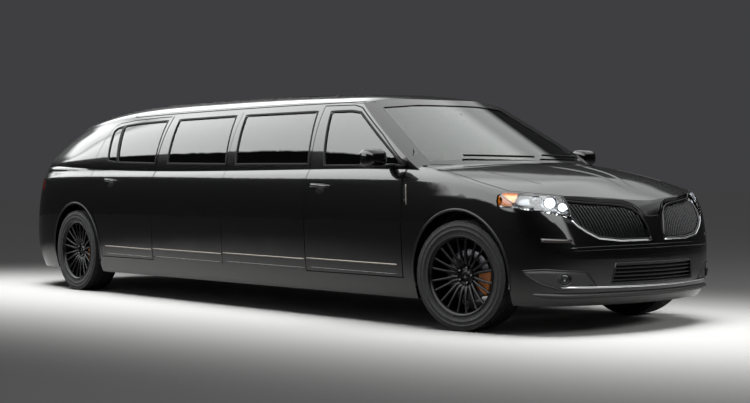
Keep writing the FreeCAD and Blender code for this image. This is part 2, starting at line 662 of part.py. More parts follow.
cowl_half = rest.common(block(behind(size("cowl_setback")), FENDER_FRONT, -COWL_EDGE, 0, 0.9 * SHOULDER, 2 * SHOULDER)).cut(outer_upper)

SIDE_TOP = size("side_panel_top")
QUARTER_TOP_SHARES = [(0.807, 1.0), (0.951, 0.971), (1.08, 0.925), (1.33, 0.82)]
quarter_top = [(a * size("wheelbase"), b * SIDE_TOP) for a, b in QUARTER_TOP_SHARES]
panel_start, panel_split, panel_end = size("front_door_setback"), size("stretch_split_setback"), size("rear_door_setback")
well_rear_of_front = WELL_RADIUS
side_zone = side_prism([(well_rear_of_front, 0), (well_rear_of_front, SILL_TOP), (panel_end, SILL_TOP), (panel_end, SIDE_TOP)]
                       + quarter_top + [(quarter_top[-1][0], 0)], 0, 0.0)
bumper_start = behind(size("rear_bumper_setback"))
rear_low = block(-FAR, bumper_start, -WIDE, 0, 0, size("rear_bumper_top"))
side = rest.common(side_zone)
rear_bumper_half = side.common(rear_low)
tail_lamp_zone = block(-FAR, behind(size("tail_lamp_setback")), -WIDE, 0, size("tail_lamp_base"), size("tail_lamp_top"))
tail_lamp = side.cut(rear_low).common(tail_lamp_zone)
side = by_size(side.cut([rear_low, tail_lamp_zone]))[0]
half_seam = size("seam_width") / 2
stretch_zone = []
for start, end in ((panel_start, panel_split - half_seam), (panel_split + half_seam, panel_end - GAP)):
    stretch_zone.append(side_prism([(start, SILL_TOP), (end, SILL_TOP), (end, SIDE_TOP), (start, SIDE_TOP)]))
behind_door = rest.common(block(-FAR, behind(size("front_door_setback") + 0.9 * DOOR_LENGTH), -WIDE, 0, 0, 2 * ROOF_TOP))
stretch = [behind_door.common(zone).cut(windows_of(panel, 0))
           for zone, panel in zip(stretch_zone, ("stretch_front", "stretch_rear"))]
screen_points = [(y * SHOULDER, z * SHOULDER) for y, z in
                 [(-0.775, 1.135), (0.775, 1.135), (0.60, 1.54), (0.3, 1.562), (-0.3, 1.562), (-0.60, 1.54)]]
screen_zone = front_prism(screen_points, size("window_corner"), behind(1.6 * SHOULDER), FRONT_AXLE)
roof_half = rest.common(outer_upper).common(block(behind(1.2 * size("wheelbase")), FRONT_AXLE, -WIDE, 0, BELT_FRONT, 2 * ROOF_TOP))
above_sides = side_prism([(size("front_door_setback") + 0.9 * DOOR_LENGTH, 0), (quarter_top[-1][0], 0)] + quarter_top[::-1]
                         + [(size("front_door_setback") + 0.9 * DOOR_LENGTH, SIDE_TOP)], 0, 0.4)
roof_half = roof_half.cut([above_sides, screen_zone])

windscreen = glass_layer.common(front_prism(shrunk(screen_points, PANE), size("window_corner"), behind(1.6 * SHOULDER), FRONT_AXLE))
back_points = [(y * SHOULDER, z * SHOULDER) for y, z in [(-0.60, 1.18), (0.60, 1.18), (0.50, 1.53), (-0.50, 1.53)]]
back_zone = front_prism(back_points, size("window_corner"), -FAR, behind(size("gate_hinge_setback")))
rear_window = glass_layer.common(front_prism(shrunk(back_points, PANE), size("window_corner"), -FAR, behind(size("gate_hinge_setback"))))
panes = {panel: Part.makeCompound([glass_layer.common(cut) for cut in windows_of(panel, PANE)]) for panel in WINDOW_SHARES}

hood = shell.common(hood_zone)
gate_lamp_zone = block(-FAR, behind(size("tail_lamp_setback")), -WIDE, WIDE, size("tail_lamp_base"), size("tail_lamp_top"))
gate = shell.common(gate_zone).cut(back_zone)
gate_lamp_zone = gate_lamp_zone.cut(lower_body(size("lamp_depth"), LEVEL_SHARES[0]))
gate_lamp = gate.common(gate_lamp_zone)
gate = gate.cut(gate_lamp_zone)

def hinge_leaf(x0, x1, y0, y1, z0, z1):
    return block(min(x0, x1), max(x0, x1), min(y0, y1), max(y0, y1), z0, z1)


LEAF, LEAF_TALL, LEAF_LONG = size("hinge_leaf"), size("hinge_height"), size("hinge_length")


def with_leaves(door, setback):
    x, y = behind(setback), -(HALF_WIDTH - size("side_wall") / 2)
    leaves = [hinge_leaf(x - LEAF_LONG, x + GAP - FIT, y - LEAF / 2, y + LEAF / 2, z, z + LEAF_TALL)
              for z in (size("hinge_low"), size("hinge_high"))]
    return joined([door] + leaves)


front_door = with_leaves(front_door, size("front_door_setback"))
rear_door = with_leaves(rear_door, size("rear_door_setback"))
gate_leaves = []
hood_leaves = []
tray_top = size("cowl_tray_height") + size("cowl_tray_thickness")
for out in (-1, 1):
    y = out * size("gate_leaf_offset")
    gate_leaves.append(block(GATE_HINGE.x - LEAF_LONG, GATE_HINGE.x - size("gate_leaf_gap"), y - LEAF, y + LEAF,
                             size("gate_leaf_base"), size("gate_leaf_base") + LEAF))
    y = out * size("hood_leaf_offset")
    hood_leaves.append(block(HOOD_HINGE.x + LEAF, HOOD_HINGE.x + LEAF + LEAF_LONG, y - LEAF, y + LEAF, tray_top + FIT,
                             HOOD_HINGE.z).common(outer_lower))
gate = joined([gate] + gate_leaves)
hood = joined([hood] + [leaf.cut(top_block(size("hood_wall") / 2)) for leaf in hood_leaves])

store("front_bumper", joined(both_sides(bumper_half)))
store("roof_frame", joined(both_sides(roof_half)))
store("rear_bumper", joined(both_sides(rear_bumper_half)))
for label, pieces in (("front_fenders", [fender]), ("headlamps", [headlamp]), ("tail_lamps", [tail_lamp]),
                      ("body_sides", [side]), ("stretch_panels", stretch),
                      ("fixed_side_windows", [panes["stretch_front"], panes["stretch_rear"]])):
    store(label, Part.makeCompound([half for piece in pieces for half in both_sides(piece)]))
for label, piece in (("front_door", front_door), ("rear_door", rear_door), ("front_door_glass", panes["front_door"]),
                     ("rear_door_glass", panes["rear_door"])):
    store(f"{label}_right", piece)
    store(f"{label}_left", mirrored(piece))
store("hood", hood)
store("liftgate", gate)
store("liftgate_lamp", gate_lamp)
store("rear_window", rear_window)
store("windscreen", windscreen)

MID = size("track_width") / 2


ROD_JOINT_SHARE = 1.1


def rod(points, radius):
    """A round bar through the points, its corners rounded."""
    pieces = []
    for start, end in zip(points, points[1:]):
        pieces.append(Part.makeCylinder(radius, (end - start).Length, start, end - start))
    pieces += [Part.makeSphere(ROD_JOINT_SHARE * radius, point) for point in points[1:-1]]
    return joined(pieces)


def turned(points, centre, out):
    """A ring about the axle through centre; its points are (radius, distance outwards)."""
    face = polygon(points, lambda r, s: centre + Vector(0, out * s, r))
    return face.revolve(centre, LEFT, 360)


def box_part(label, spans, corner):
    """A plain box bound to the sheet: spans are formulas for its length, width and height."""
    feature = doc.addObject("Part::Box", label)
    for name, formula in zip(("Length", "Width", "Height"), spans):
        feature.setExpression(name, formula)
    feature.Placement.Base = corner
    return feature


TYRE_BEAD_SHARE, TYRE_TREAD_SHARE = 0.42, 0.46
RIM = size("rim_diameter") / 2
TYRE_R, TYRE_W = size("tyre_diameter") / 2, size("tyre_width")
BARREL_HALF = 0.47 * TYRE_W


def tyre(centre, out):
    outer_half = [(RIM + FIT, TYRE_BEAD_SHARE * TYRE_W), (TYRE_R, TYRE_TREAD_SHARE * TYRE_W)]
    return turned(outer_half + [(r, -s) for r, s in outer_half[::-1]], centre, out)


HUB_RADIUS, DISC_RADIUS = size("hub_radius"), size("disc_radius")
SPOKE_COUNT = 10


def rim(centre, out):
    """Barrel, flanges, hub, brake disc and twin spokes of one wheel."""
    lip, seat, inner = size("rim_flange_diameter") / 2, RIM, RIM - size("rim_wall")
    barrel = turned([(inner, -BARREL_HALF), (lip, -BARREL_HALF), (lip, -0.44 * TYRE_W), (seat, -0.43 * TYRE_W),
                     (seat, 0.43 * TYRE_W), (lip, 0.44 * TYRE_W), (lip, BARREL_HALF), (inner, BARREL_HALF)], centre, out)
    face, depth = size("spoke_face"), size("spoke_depth")
    hub = turned([(0, -size("hub_back")), (HUB_RADIUS, -size("hub_back")), (HUB_RADIUS, face), (0, face)], centre, out)
    disc = turned([(0.5 * HUB_RADIUS, 0), (DISC_RADIUS, 0), (DISC_RADIUS, size("disc_thickness")),
                   (0.5 * HUB_RADIUS, size("disc_thickness"))], centre, out)
    pieces = [barrel, hub, disc]
    width = size("spoke_width")
    for k in range(SPOKE_COUNT):
        for lean in (-1, 1):
            foot = lean * 0.9 * width
            tip = lean * 1.9 * width
            root, end = 0.5 * HUB_RADIUS, (RIM + inner) / 2
            outline = [(foot - width / 2, root), (foot + width / 2, root), (tip + width / 2, end), (tip - width / 2, end)]
            bar = polygon(outline, lambda x, r: centre + Vector(x, out * (face - depth), r)).extrude(LEFT * out * depth)
            bar.rotate(centre, LEFT, 360 * k / SPOKE_COUNT)
            pieces.append(bar)
    return joined(pieces)


def ring_sector(centre, out, r0, r1, s0, s1, from_angle, to_angle):
    face = polygon([(r0, s0), (r1, s0), (r1, s1), (r0, s1)], lambda r, s: centre + Vector(0, out * s, r))
    face.rotate(centre, LEFT, from_angle)
    return face.revolve(centre, LEFT, to_angle - from_angle)


def caliper(centre, out, angle):
    clear = size("disc_clearance")
    disc_out = size("disc_thickness") + clear
    inner, outer = 0.62 * DISC_RADIUS, DISC_RADIUS + clear + size("caliper_wall")
    shell_part = ring_sector(centre, out, inner, outer, -clear - size("caliper_wall"), disc_out + size("caliper_wall"),
                             angle - 24, angle + 24)
    slot = ring_sector(centre, out, 0.5 * inner, DISC_RADIUS + clear, -clear, disc_out, angle - 30, angle + 30)
    return shell_part.cut(slot)


def upright(centre, out):
    """The plate that carries a wheel, inboard of its hub, with the ball joint pins above and below."""
    back, thick = size("hub_back") + FIT, size("upright_thickness")
    half, tall = size("upright_width") / 2, size("upright_height") / 2
    y0, y1 = sorted((centre.y - out * back, centre.y - out * (back + thick)))
    return block(centre.x - half, centre.x + half, y0, y1, centre.z - tall, centre.z + tall)


def caliper_bracket(centre, out, angle):
    return ring_sector(centre, out, 0.25 * DISC_RADIUS, DISC_RADIUS + size("disc_clearance") + size("caliper_wall"),
                       -size("hub_back") - FIT - size("upright_thickness"), -size("hub_back") - FIT, angle - 9, angle + 9)


def bracket_bridge(centre, out, angle):
    r1 = DISC_RADIUS + size("disc_clearance") + size("caliper_wall")
    return ring_sector(centre, out, 0.80 * DISC_RADIUS, r1, -size("hub_back") - FIT,
                       -size("disc_clearance") - 0.5 * size("caliper_wall"), angle - 9, angle + 9)


for side_name, out in (("right", -1), ("left", 1)):
    for axle_name, x in (("front", FRONT_AXLE), ("rear", REAR_AXLE)):
        centre = Vector(x, out * MID, AXLE_HEIGHT)
        pieces = {f"{axle_name}_tyre_{side_name}": tyre(centre, out), f"{axle_name}_rim_{side_name}": rim(centre, out)}
        if axle_name == "front":
            angle = 90 + 15
            knuckle = joined([upright(centre, out), caliper_bracket(centre, out, angle), bracket_bridge(centre, out, angle),
                              caliper(centre, out, angle)])
            pieces[f"knuckle_{side_name}"] = knuckle
            kingpin = centre - Vector(0, out * size("kingpin_inset"), 0)
            for shape in pieces.values():
                shape.rotate(kingpin, UP, size("steering_at_rest"))
        for label, shape in pieces.items():
            store(label, shape)

# Suspension arms, and the openings that they need in the liners of the wheel wells
RAIL, arm, arm_z = size("rail_half_spacing"), size("arm_thickness"), size("arm_height")
kingpin_y = MID - size("kingpin_inset")
upper_z = AXLE_HEIGHT + size("upright_height") / 2 + FIT
lower_top = AXLE_HEIGHT - size("upright_height") / 2 - FIT


def front_arms(room):
    arms = []
    for out in (-1, 1):
        y0, y1 = sorted((out * (RAIL - arm), out * (kingpin_y + arm)))
        for base in (lower_top - arm, upper_z):
            arms.append(block(FRONT_AXLE - arm - room, FRONT_AXLE + arm + room, y0 - room, y1 + room,
                              base - room, base + arm + room))
    return arms


# Floor with its firewall, the tray under the wipers and the liners of the wheel wells
inner_wall = lower_body(size("side_wall") + FIT, LEVEL_SHARES[0])
FLOOR, FLOOR_TOP = size("floor_height"), size("floor_height") + size("floor_thickness")
FIREWALL = behind(size("firewall_setback"))
floor = inner_wall.common(block(behind(size("floor_end_setback")), FIREWALL, -WIDE, WIDE, FLOOR, FLOOR_TOP))
floor = floor.cut(wells + [mirrored(well) for well in wells])
plates = [floor, block(FIREWALL - size("firewall_thickness"), FIREWALL, -size("firewall_half_width"), size("firewall_half_width"),
                       FLOOR, size("cowl_tray_height"))]
liner_wall = size("liner_thickness")
for axle in (FRONT_AXLE, REAR_AXLE):
    for out in (-1, 1):
        inboard, span = size("wheel_well_inner"), size("liner_outer") - size("wheel_well_inner")
        middle = Vector(axle, out * (inboard - liner_wall), AXLE_HEIGHT)
        away = Vector(0, out, 0)
        drum = Part.makeCylinder(WELL_RADIUS + liner_wall, span + liner_wall, middle, away)
        hollow = Part.makeCylinder(WELL_RADIUS, span + OVERRUN, middle + away * liner_wall, away)
        plates.append(drum.cut([hollow] + front_arms(GAP)).common(block(-FAR, FAR, -WIDE, WIDE, FLOOR, 2 * ROOF_TOP)))
tray = block(behind(size("cowl_tray_setback")), behind(size("cowl_tray_front")), -size("cowl_tray_half_width"),
             size("cowl_tray_half_width"), size("cowl_tray_height"), size("cowl_tray_height") + size("cowl_tray_thickness"))
store("floor_pan", joined(plates + [tray]))

# Running gear
subframe = front_arms(0)
subframe.append(block(FRONT_AXLE - size("subframe_half_length"), FRONT_AXLE + size("subframe_half_length"), -RAIL,
                      RAIL, arm_z - size("subframe_depth"), arm_z + arm))
for out in (-1, 1):
    y0, y1 = sorted((out * RAIL, out * (RAIL - size("rail_width"))))
    subframe.append(block(FIREWALL + FIT, FRONT_AXLE + size("rail_front_reach"), y0, y1, arm_z, upper_z + 2 * arm))
subframe.append(block(FRONT_AXLE + size("rail_front_reach") - arm, FRONT_AXLE + size("rail_front_reach"), -RAIL, RAIL,
                      arm_z, upper_z + 2 * arm))
store("front_subframe", joined(subframe))
rear_base = FLOOR - FIT - size("subframe_depth")
rear = [block(REAR_AXLE - size("subframe_half_length"), REAR_AXLE + size("subframe_half_length"), -RAIL, RAIL,
              rear_base, FLOOR - FIT)]
for out in (-1, 1):
    centre = Vector(REAR_AXLE, out * MID, AXLE_HEIGHT)
    y0, y1 = sorted((out * (RAIL - arm), out * (MID - size("hub_back") - FIT)))
    rear.append(block(REAR_AXLE - arm, REAR_AXLE + arm, y0, y1, rear_base, FLOOR - FIT))
    y0, y1 = sorted((out * (MID - size("hub_back") - size("upright_thickness")), out * (MID - size("hub_back") - FIT)))
    rear += [block(REAR_AXLE - arm, REAR_AXLE + arm, y0, y1, rear_base, AXLE_HEIGHT),
             upright(centre, out), caliper_bracket(centre, out, 105), bracket_bridge(centre, out, 105), caliper(centre, out, 105)]
store("rear_suspension", joined(rear))
engine = box_part("engine", ["Sizes.engine_length", "Sizes.engine_width", "Sizes.engine_height"],
                  Vector(FRONT_AXLE - size("engine_length") / 2, -size("engine_width") / 2, arm_z + arm + FIT))
pipe, pipe_z = size("pipe_radius"), FLOOR - size("pipe_drop")
pipe_run = [Vector(behind(size("pipe_front_setback")), size("pipe_offset"), pipe_z),
            Vector(behind(size("pipe_rear_setback")), size("pipe_offset"), pipe_z)]
muffler = block(behind(size("pipe_rear_setback")), behind(size("pipe_rear_setback")) + size("muffler_length"),
                size("pipe_offset") - size("muffler_width") / 2, size("pipe_offset") + size("muffler_width") / 2,
                pipe_z - pipe, FLOOR - FIT)
store("exhaust", joined([rod(pipe_run, pipe), muffler]))

# Cabin
def seat(x, y, width):
    depth, cushion, thick = size("seat_depth"), size("seat_height"), size("seat_thickness")
    near, far = y - width / 2, y + width / 2
    base = block(x - depth, x, near, far, FLOOR_TOP + FIT, FLOOR_TOP + cushion)
    back = block(x - depth - thick, x - depth, near, far, FLOOR_TOP + FIT, FLOOR_TOP + size("seat_back_height"))
    head = block(x - depth - 0.8 * thick, x - depth - 0.1 * thick, y - 0.25 * size("seat_width"), y + 0.25 * size("seat_width"),
                 FLOOR_TOP + size("seat_back_height"), FLOOR_TOP + size("headrest_top"))
    base, back = (upper_edges_rounded(form) for form in (base, back))
    return joined([base, back, head])


def upper_edges_rounded(form):
    """Rounds the edges across the body along the top of a block."""
    across = [edge for edge in form.Edges if edge.BoundBox.YLength > edge.BoundBox.DiagonalLength - FIT]
    upper = [edge for edge in across if edge.BoundBox.ZMin > form.BoundBox.ZMax - FIT]
    return form.makeFillet(size("seat_edge_radius"), upper)


store("front_seats", Part.makeCompound([seat(behind(size("front_seat_setback")), out * size("seat_offset"), size("seat_width"))
                                        for out in (-1, 1)]))
store("lounge_seats", Part.makeCompound([seat(behind(size("rear_seat_setback")), 0, size("bench_width"))]))
dash = box_part("dashboard", ["Sizes.dash_depth", "Sizes.dash_width", "Sizes.dash_height"],
                Vector(FIREWALL - size("firewall_thickness") - FIT - size("dash_depth"), -size("dash_width") / 2,
                       size("dash_base")))
wheel_centre = Vector(behind(size("steering_wheel_setback")), size("seat_offset"), size("steering_wheel_height"))
column = Vector(1, 0, -0.42).normalize()
ring = Part.makeTorus(size("steering_wheel_radius"), size("steering_rim_radius"), wheel_centre, column)
spoke_half = size("steering_wheel_radius")
spokes = [Part.makeCylinder(size("steering_rim_radius"), 2 * spoke_half, wheel_centre - LEFT * spoke_half, LEFT),
          Part.makeCylinder(3 * size("steering_rim_radius"), 2 * size("steering_rim_radius"), wheel_centre, column),
          Part.makeCylinder(1.5 * size("steering_rim_radius"), size("column_length"), wheel_centre, column)]
doc.recompute()
store("steering_wheel", joined([ring] + spokes).cut(dash.Shape))

# Grilles: upright bars in the wings, level bars in the intake
bar_layer = lower_body(size("grille_recess")).common(block(FRONT_AXLE + 0.4 * SHOULDER, FAR, -WIDE, 0, 0, 2 * SHOULDER))
bar_layer = bar_layer.cut(lower_body(size("grille_recess") + size("grille_depth"), LEVEL_SHARES[0]))
pitch, bar = size("grille_pitch"), size("grille_bar")
bars = []
for k in range(int(0.62 * SHOULDER / pitch)):
    upright_bar = block(FRONT_AXLE, FAR, -bar / 2, bar / 2, 0.2 * SHOULDER, 1.4 * SHOULDER)
    upright_bar.rotate(Vector(0, 0, 0.75 * SHOULDER), FORWARD, -14)
    upright_bar.translate(Vector(0, -0.06 * SHOULDER - k * pitch, 0))
    bars.append(upright_bar)
wing_fit = front_prism(shrunk(wing_points, FIT), 0, FRONT_AXLE + 0.4 * SHOULDER, FAR)
grille_wing = bar_layer.common(wing_fit).cut([hood_room, lamp_prism(grown(lamp_points, FIT))])
frame_cut = front_prism(grown(wing_points, -size("grille_frame")), 0, FRONT_AXLE, FAR)
wing_grille = joined([grille_wing.cut(frame_cut), grille_wing.common(Part.makeCompound(bars))])
levels = [block(FRONT_AXLE, FAR, -WIDE, 0, z - bar, z + bar) for z in
          [INTAKE_SHARES[0][1] * SHOULDER + (INTAKE_SHARES[2][1] - INTAKE_SHARES[0][1]) * SHOULDER * k / 4 for k in range(5)]]
intake_half = bar_layer.common(front_prism(shrunk(intake_points, FIT), size("window_corner"), FRONT_AXLE + 0.4 * SHOULDER, FAR))
intake_frame = front_prism(grown(intake_points, -size("grille_frame")), 0, FRONT_AXLE, FAR)
intake_grille = joined([intake_half.cut(intake_frame), intake_half.common(Part.makeCompound(levels))])
store("grilles", Part.makeCompound(both_sides(wing_grille) + [joined(both_sides(intake_grille))]))

# Mirrors and wipers
for label, out in (("mirror_right", -1), ("mirror_left", 1)):
    x, top = behind(size("mirror_setback")), size("mirror_top")
    tall, deep, wide = size("mirror_height"), size("mirror_depth"), size("mirror_width")
    y0, y1 = sorted((out * size("mirror_start"), out * (size("mirror_start") + wide)))
    case = block(x - deep, x, y0, y1, top - tall, top)
    case = case.makeFillet(0.28 * tall, case.Edges)
    y0, y1 = sorted((out * (size("belt_half_width") - size("mirror_arm")), out * (size("mirror_start") + size("mirror_arm"))))
    foot = block(x - 0.75 * deep, x - 0.25 * deep, y0, y1, top - tall - size("mirror_arm") / 2, top - tall + size("mirror_arm") / 2)
    door = front_door if out < 0 else mirrored(front_door)
    store(label, by_size(joined([case, foot]).cut(door))[0])


def on_screen(y, z, lift):
    lean = math.hypot(1, SCREEN_RAKE)
    return Vector(screen_x(y, z) + lift / lean, y, z + lift * SCREEN_RAKE / lean)


blade, lift = size("wiper_radius"), size("wiper_radius") + size("wiper_lift")
WIPER_SHARES = [(0.71, 0.22), (0.10, -0.50)]
WIPER_BASE_SHARE, WIPER_RISE_SHARE = 1.152, 0.004
wipers = []
for pivot, tip in WIPER_SHARES:
    path = [on_screen((pivot + (tip - pivot) * k / 3) * SHOULDER, (WIPER_BASE_SHARE + WIPER_RISE_SHARE * k) * SHOULDER,
                      lift) for k in range(4)]
    wipers.append(rod(path, blade))
store("wipers", Part.makeCompound(wipers))

# Export, once every sub-part has been found sound
doc.recompute()
pieces = [obj for obj in doc.Objects if hasattr(obj, "Shape")]
for obj in pieces:
    if any(state in ("Invalid", "Error") for state in obj.State) or not obj.Shape.isValid() or not obj.Shape.Solids:
        raise ValueError(f"{obj.Label} is not sound")
os.makedirs("parts", exist_ok=True)
for obj in pieces:
    obj.Shape.exportStep(f"parts/{obj.Label}.step")
    print(obj.Label, len(obj.Shape.Solids), round(obj.Shape.Volume))
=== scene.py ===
# %% [markdown]
# A stretched crossover limousine, dressed for a studio picture.
# The solid model brings every panel, wheel and seat at its true size. This script adds what makes them
# look real: the deep black lacquer, the glass, the lamps, the tyre tread, the bright lines and the room.

# %% Load the solid model
import json
import math
import bmesh
import bpy
import numpy as np
from mathutils import Matrix, Vector
from mathutils.bvhtree import BVHTree
from mathutils.geometry import delaunay_2d_cdt


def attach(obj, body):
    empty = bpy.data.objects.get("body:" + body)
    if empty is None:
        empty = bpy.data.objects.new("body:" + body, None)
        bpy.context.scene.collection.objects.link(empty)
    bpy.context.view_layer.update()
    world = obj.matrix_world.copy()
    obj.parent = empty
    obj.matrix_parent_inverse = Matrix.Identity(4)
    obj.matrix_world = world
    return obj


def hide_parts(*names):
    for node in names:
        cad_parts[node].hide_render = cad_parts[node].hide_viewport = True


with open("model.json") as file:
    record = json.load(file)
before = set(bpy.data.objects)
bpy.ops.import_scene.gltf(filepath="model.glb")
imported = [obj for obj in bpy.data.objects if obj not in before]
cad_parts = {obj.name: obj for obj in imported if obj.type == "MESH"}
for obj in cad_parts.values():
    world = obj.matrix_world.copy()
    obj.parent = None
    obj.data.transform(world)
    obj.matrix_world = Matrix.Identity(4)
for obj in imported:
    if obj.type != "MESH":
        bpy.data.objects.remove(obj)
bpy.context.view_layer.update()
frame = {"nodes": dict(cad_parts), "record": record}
scene = bpy.context.scene
FRONT_AXLE, REAR_AXLE, WHEELBASE = 2.8115, -2.3935, 5.205
SIDES = (("right", -1), ("left", 1))

# %% [markdown]
# The camera stands where the photographer stood: about ten metres off the right front corner, a metre
# above the floor, with a lens twice as long as a normal one. The numbers come from matching the wheels.

# %% The camera
CAMERA_PLACE = (7.4061 + FRONT_AXLE, -7.7501, 1.0391)
AZIMUTH, ELEVATION, ROLL = 0.88134, 0.01730, -0.00860
lens = bpy.data.cameras.new("studio_camera")
lens.sensor_width, lens.lens, lens.clip_end = 36.0, 72.80, 200.0
camera = bpy.data.objects.new("studio_camera", lens)
scene.collection.objects.link(camera)
plan = Vector((math.sin(AZIMUTH), -math.cos(AZIMUTH), 0)) * math.cos(ELEVATION)
back = plan + Vector((0, 0, math.sin(ELEVATION)))
right = (-back).cross(Vector((0, 0, 1))).normalized()
up = right.cross(-back)
rolled_right = right * math.cos(ROLL) + up * math.sin(ROLL)
rolled_up = up * math.cos(ROLL) - right * math.sin(ROLL)
turn = Matrix((rolled_right, rolled_up, back)).transposed().to_4x4()
camera.matrix_world = Matrix.Translation(CAMERA_PLACE) @ turn
scene.camera = camera
scene.view_settings.view_transform = "Standard"

# %% [markdown]
# Every finish below is a small tree of nodes. One function adds a node with its settings and links, and
# one turns the colours, written as sRGB hex values, into the linear numbers that a renderer adds up.

# %% Helpers for materials
def linear(text):
    values = [int(text[k:k + 2], 16) / 255 for k in (1, 3, 5)]
    return [v / 12.92 if v <= 0.04045 else ((v + 0.055) / 1.055) ** 2.4 for v in values] + [1.0]


def add(tree, kind, links=None, **settings):
    """Adds one node: settings are its properties, links its sockets, as values or as other sockets."""
    node = tree.nodes.new(kind)
    for name, value in settings.items():
        setattr(node, name, value)
    for name, value in (links or {}).items():
        if isinstance(value, bpy.types.NodeSocket):
            tree.links.new(value, node.inputs[name])
        else:
            node.inputs[name].default_value = value
    return node


def noise(tree, grain, detail):
    """A noise pattern with a grain of a real width in metres."""
    place = add(tree, "ShaderNodeTexCoord").outputs["Object"]
    return add(tree, "ShaderNodeTexNoise", {"Vector": place, "Scale": 1 / grain, "Detail": detail}).outputs[0]


def material(name, colour, roughness, more=None, grain=None):
    """One surface shader. more holds its other sockets, grain a relief's (width, height) in metres."""
    made = bpy.data.materials.new(name)
    made.use_nodes = True
    tree = made.node_tree
    tree.nodes.clear()
    sockets = {"Base Color": linear(colour), "Roughness": roughness, **(more or {})}
    shader = add(tree, "ShaderNodeBsdfPrincipled", sockets)
    add(tree, "ShaderNodeOutputMaterial", {"Surface": shader.outputs[0]})
    made["shader"] = shader.name
    if grain:
        width, height = grain
        pattern = noise(tree, width, 3.0)
        relief = add(tree, "ShaderNodeBump", {"Height": pattern, "Distance": height, "Strength": 0.5})
        tree.links.new(relief.outputs[0], shader.inputs["Normal"])
    return made


def uneven(made, low, high, grain):
    """Lets the roughness wander between two values, in patches of a real size in metres."""
    tree = made.node_tree
    spread = add(tree, "ShaderNodeMapRange", {
        "Value": noise(tree, grain, 4.0), "From Min": 0.3, "From Max": 0.7, "To Min": low, "To Max": high})
    tree.links.new(spread.outputs[0], tree.nodes[made["shader"]].inputs["Roughness"])


# %% [markdown]
# The body is steel and aluminium sheet under black base coat and clear lacquer. The base coat swallows
# nearly all light, and the lacquer over it mirrors the room. Sprayed lacquer is never quite flat, so its
# mirror is a little soft. Castings, plastics, leather and carpet each have a grain of their real width.

# %% Paint, glass, metals and soft materials
METAL = {"Metallic": 1.0}
PANE = {"IOR": 1.5, "Transmission Weight": 1.0}
PAINT = material("black_lacquer_over_base_coat", "#050506", 0.35, {
    "Specular IOR Level": 0.05, "Coat Weight": 1.0, "Coat Roughness": 0.03, "Coat IOR": 1.45})
RIM_PAINT = material("gloss_black_powder_coat", "#050506", 0.25,
                     {"Specular IOR Level": 0.16}, (0.004, 0.0002))
# Also used for the small dark discs on the brake discs: painted shade in place of drilled openings.
UNDER_COAT_AND_HOLE_SHADE = material("stone_guard_under_coat", "#151515", 0.75, None, (0.006, 0.001))
TRIM = material("gloss_black_moulded_acrylic", "#0A0A0B", 0.12)
PLASTIC = material("grained_moulded_polypropylene", "#161617", 0.55, None, (0.0015, 0.0004))
SEAL_AND_SHADE = material("extruded_rubber_seal", "#0B0B0B", 0.6, {"Specular IOR Level": 0.1}, (0.002, 0.0002))
# Real extruded rubber for glass seals, wipers and valves. The same dark finish is also painted shade: the
# sheets behind the grille and intake slats, the door handle cups and the discs inside the exhaust tips.
CHROME = material("bright_chrome_plate", "#C9CACC", 0.10, METAL)
CAST = material("sand_cast_iron", "#3A3835", 0.65, {"Metallic": 0.6}, (0.003, 0.0008))
# Turned steel painted much darker than bare steel is: painted shade, for the brake disc in the wheel's
# shadow. The wheel nuts and the headrest posts share it.
SHADE_DARKENED_STEEL = material("turned_disc_steel", "#4A4A4D", 0.40, METAL)
STAINLESS = material("satin_stainless_trim", "#6E6A64", 0.45, METAL)
ALUMINISED = material("aluminised_exhaust_steel", "#6E6A64", 0.45, METAL)
SILVER = material("silvered_mirror_glass", "#E4E8EA", 0.02, METAL)
RUBBER = material("vulcanised_tyre_rubber", "#121213", 0.68, {"Specular IOR Level": 0.25}, (0.003, 0.0003))
CALIPER = material("orange_caliper_enamel", "#B8681A", 0.40, {"Coat Weight": 0.2})
LEATHER = material("black_grained_cowhide", "#1A1918", 0.5, None, (0.003, 0.0006))
CARPET = material("tufted_nylon_carpet", "#121212", 0.95, None, (0.004, 0.002))
LINING = material("knitted_roof_lining", "#4A4743", 0.9, None, (0.0015, 0.0004))
PLATE = material("blank_white_plate_enamel", "#B9BBB8", 0.4)
SCREEN = material("laminated_green_tint_glass", "#A9B5AC", 0.0, PANE)
PRIVACY = material("privacy_tinted_tempered_glass", "#3C3F40", 0.0, PANE)
LENS = material("hard_coated_polycarbonate_lens", "#F4F6F7", 0.0, {"IOR": 1.45, "Transmission Weight": 1.0})
RED_LENS = material("red_moulded_lamp_acrylic", "#8E0A0A", 0.08, {"IOR": 1.49, "Transmission Weight": 0.6})
AMBER = material("amber_moulded_acrylic", "#FF8A1E", 0.2, {
    "IOR": 1.49, "Emission Color": linear("#FF8412"), "Emission Strength": 0.25})
AMBER_DARK = material("smoked_amber_acrylic", "#241C18", 0.15, {"IOR": 1.49})
SMOKED = material("smoked_lamp_glass", "#26282A", 0.06, {"IOR": 1.5})
REFLECTOR = material("vacuum_coated_reflector", "#5E6166", 0.30, METAL)
LIT = material("lit_discharge_bulb", "#FFFFFF", 0.3, {
    "Emission Color": linear("#F6FBFF"), "Emission Strength": 2.6})
GRILLE = material("gloss_black_grille_moulding", "#0C0C0D", 0.30, {"Specular IOR Level": 0.3})
EDGE = material("smoked_bright_edge", "#2E2E30", 0.45, METAL)
FLOOR = material("pale_painted_studio_floor", "#D2D2D0", 0.9, {"Specular IOR Level": 0.0}, (0.05, 0.001))
for paint in (RIM_PAINT, TRIM):
    uneven(paint, 0.20, 0.32, 0.08)
uneven(RUBBER, 0.55, 0.8, 0.02)
print("materials:", len(bpy.data.materials))

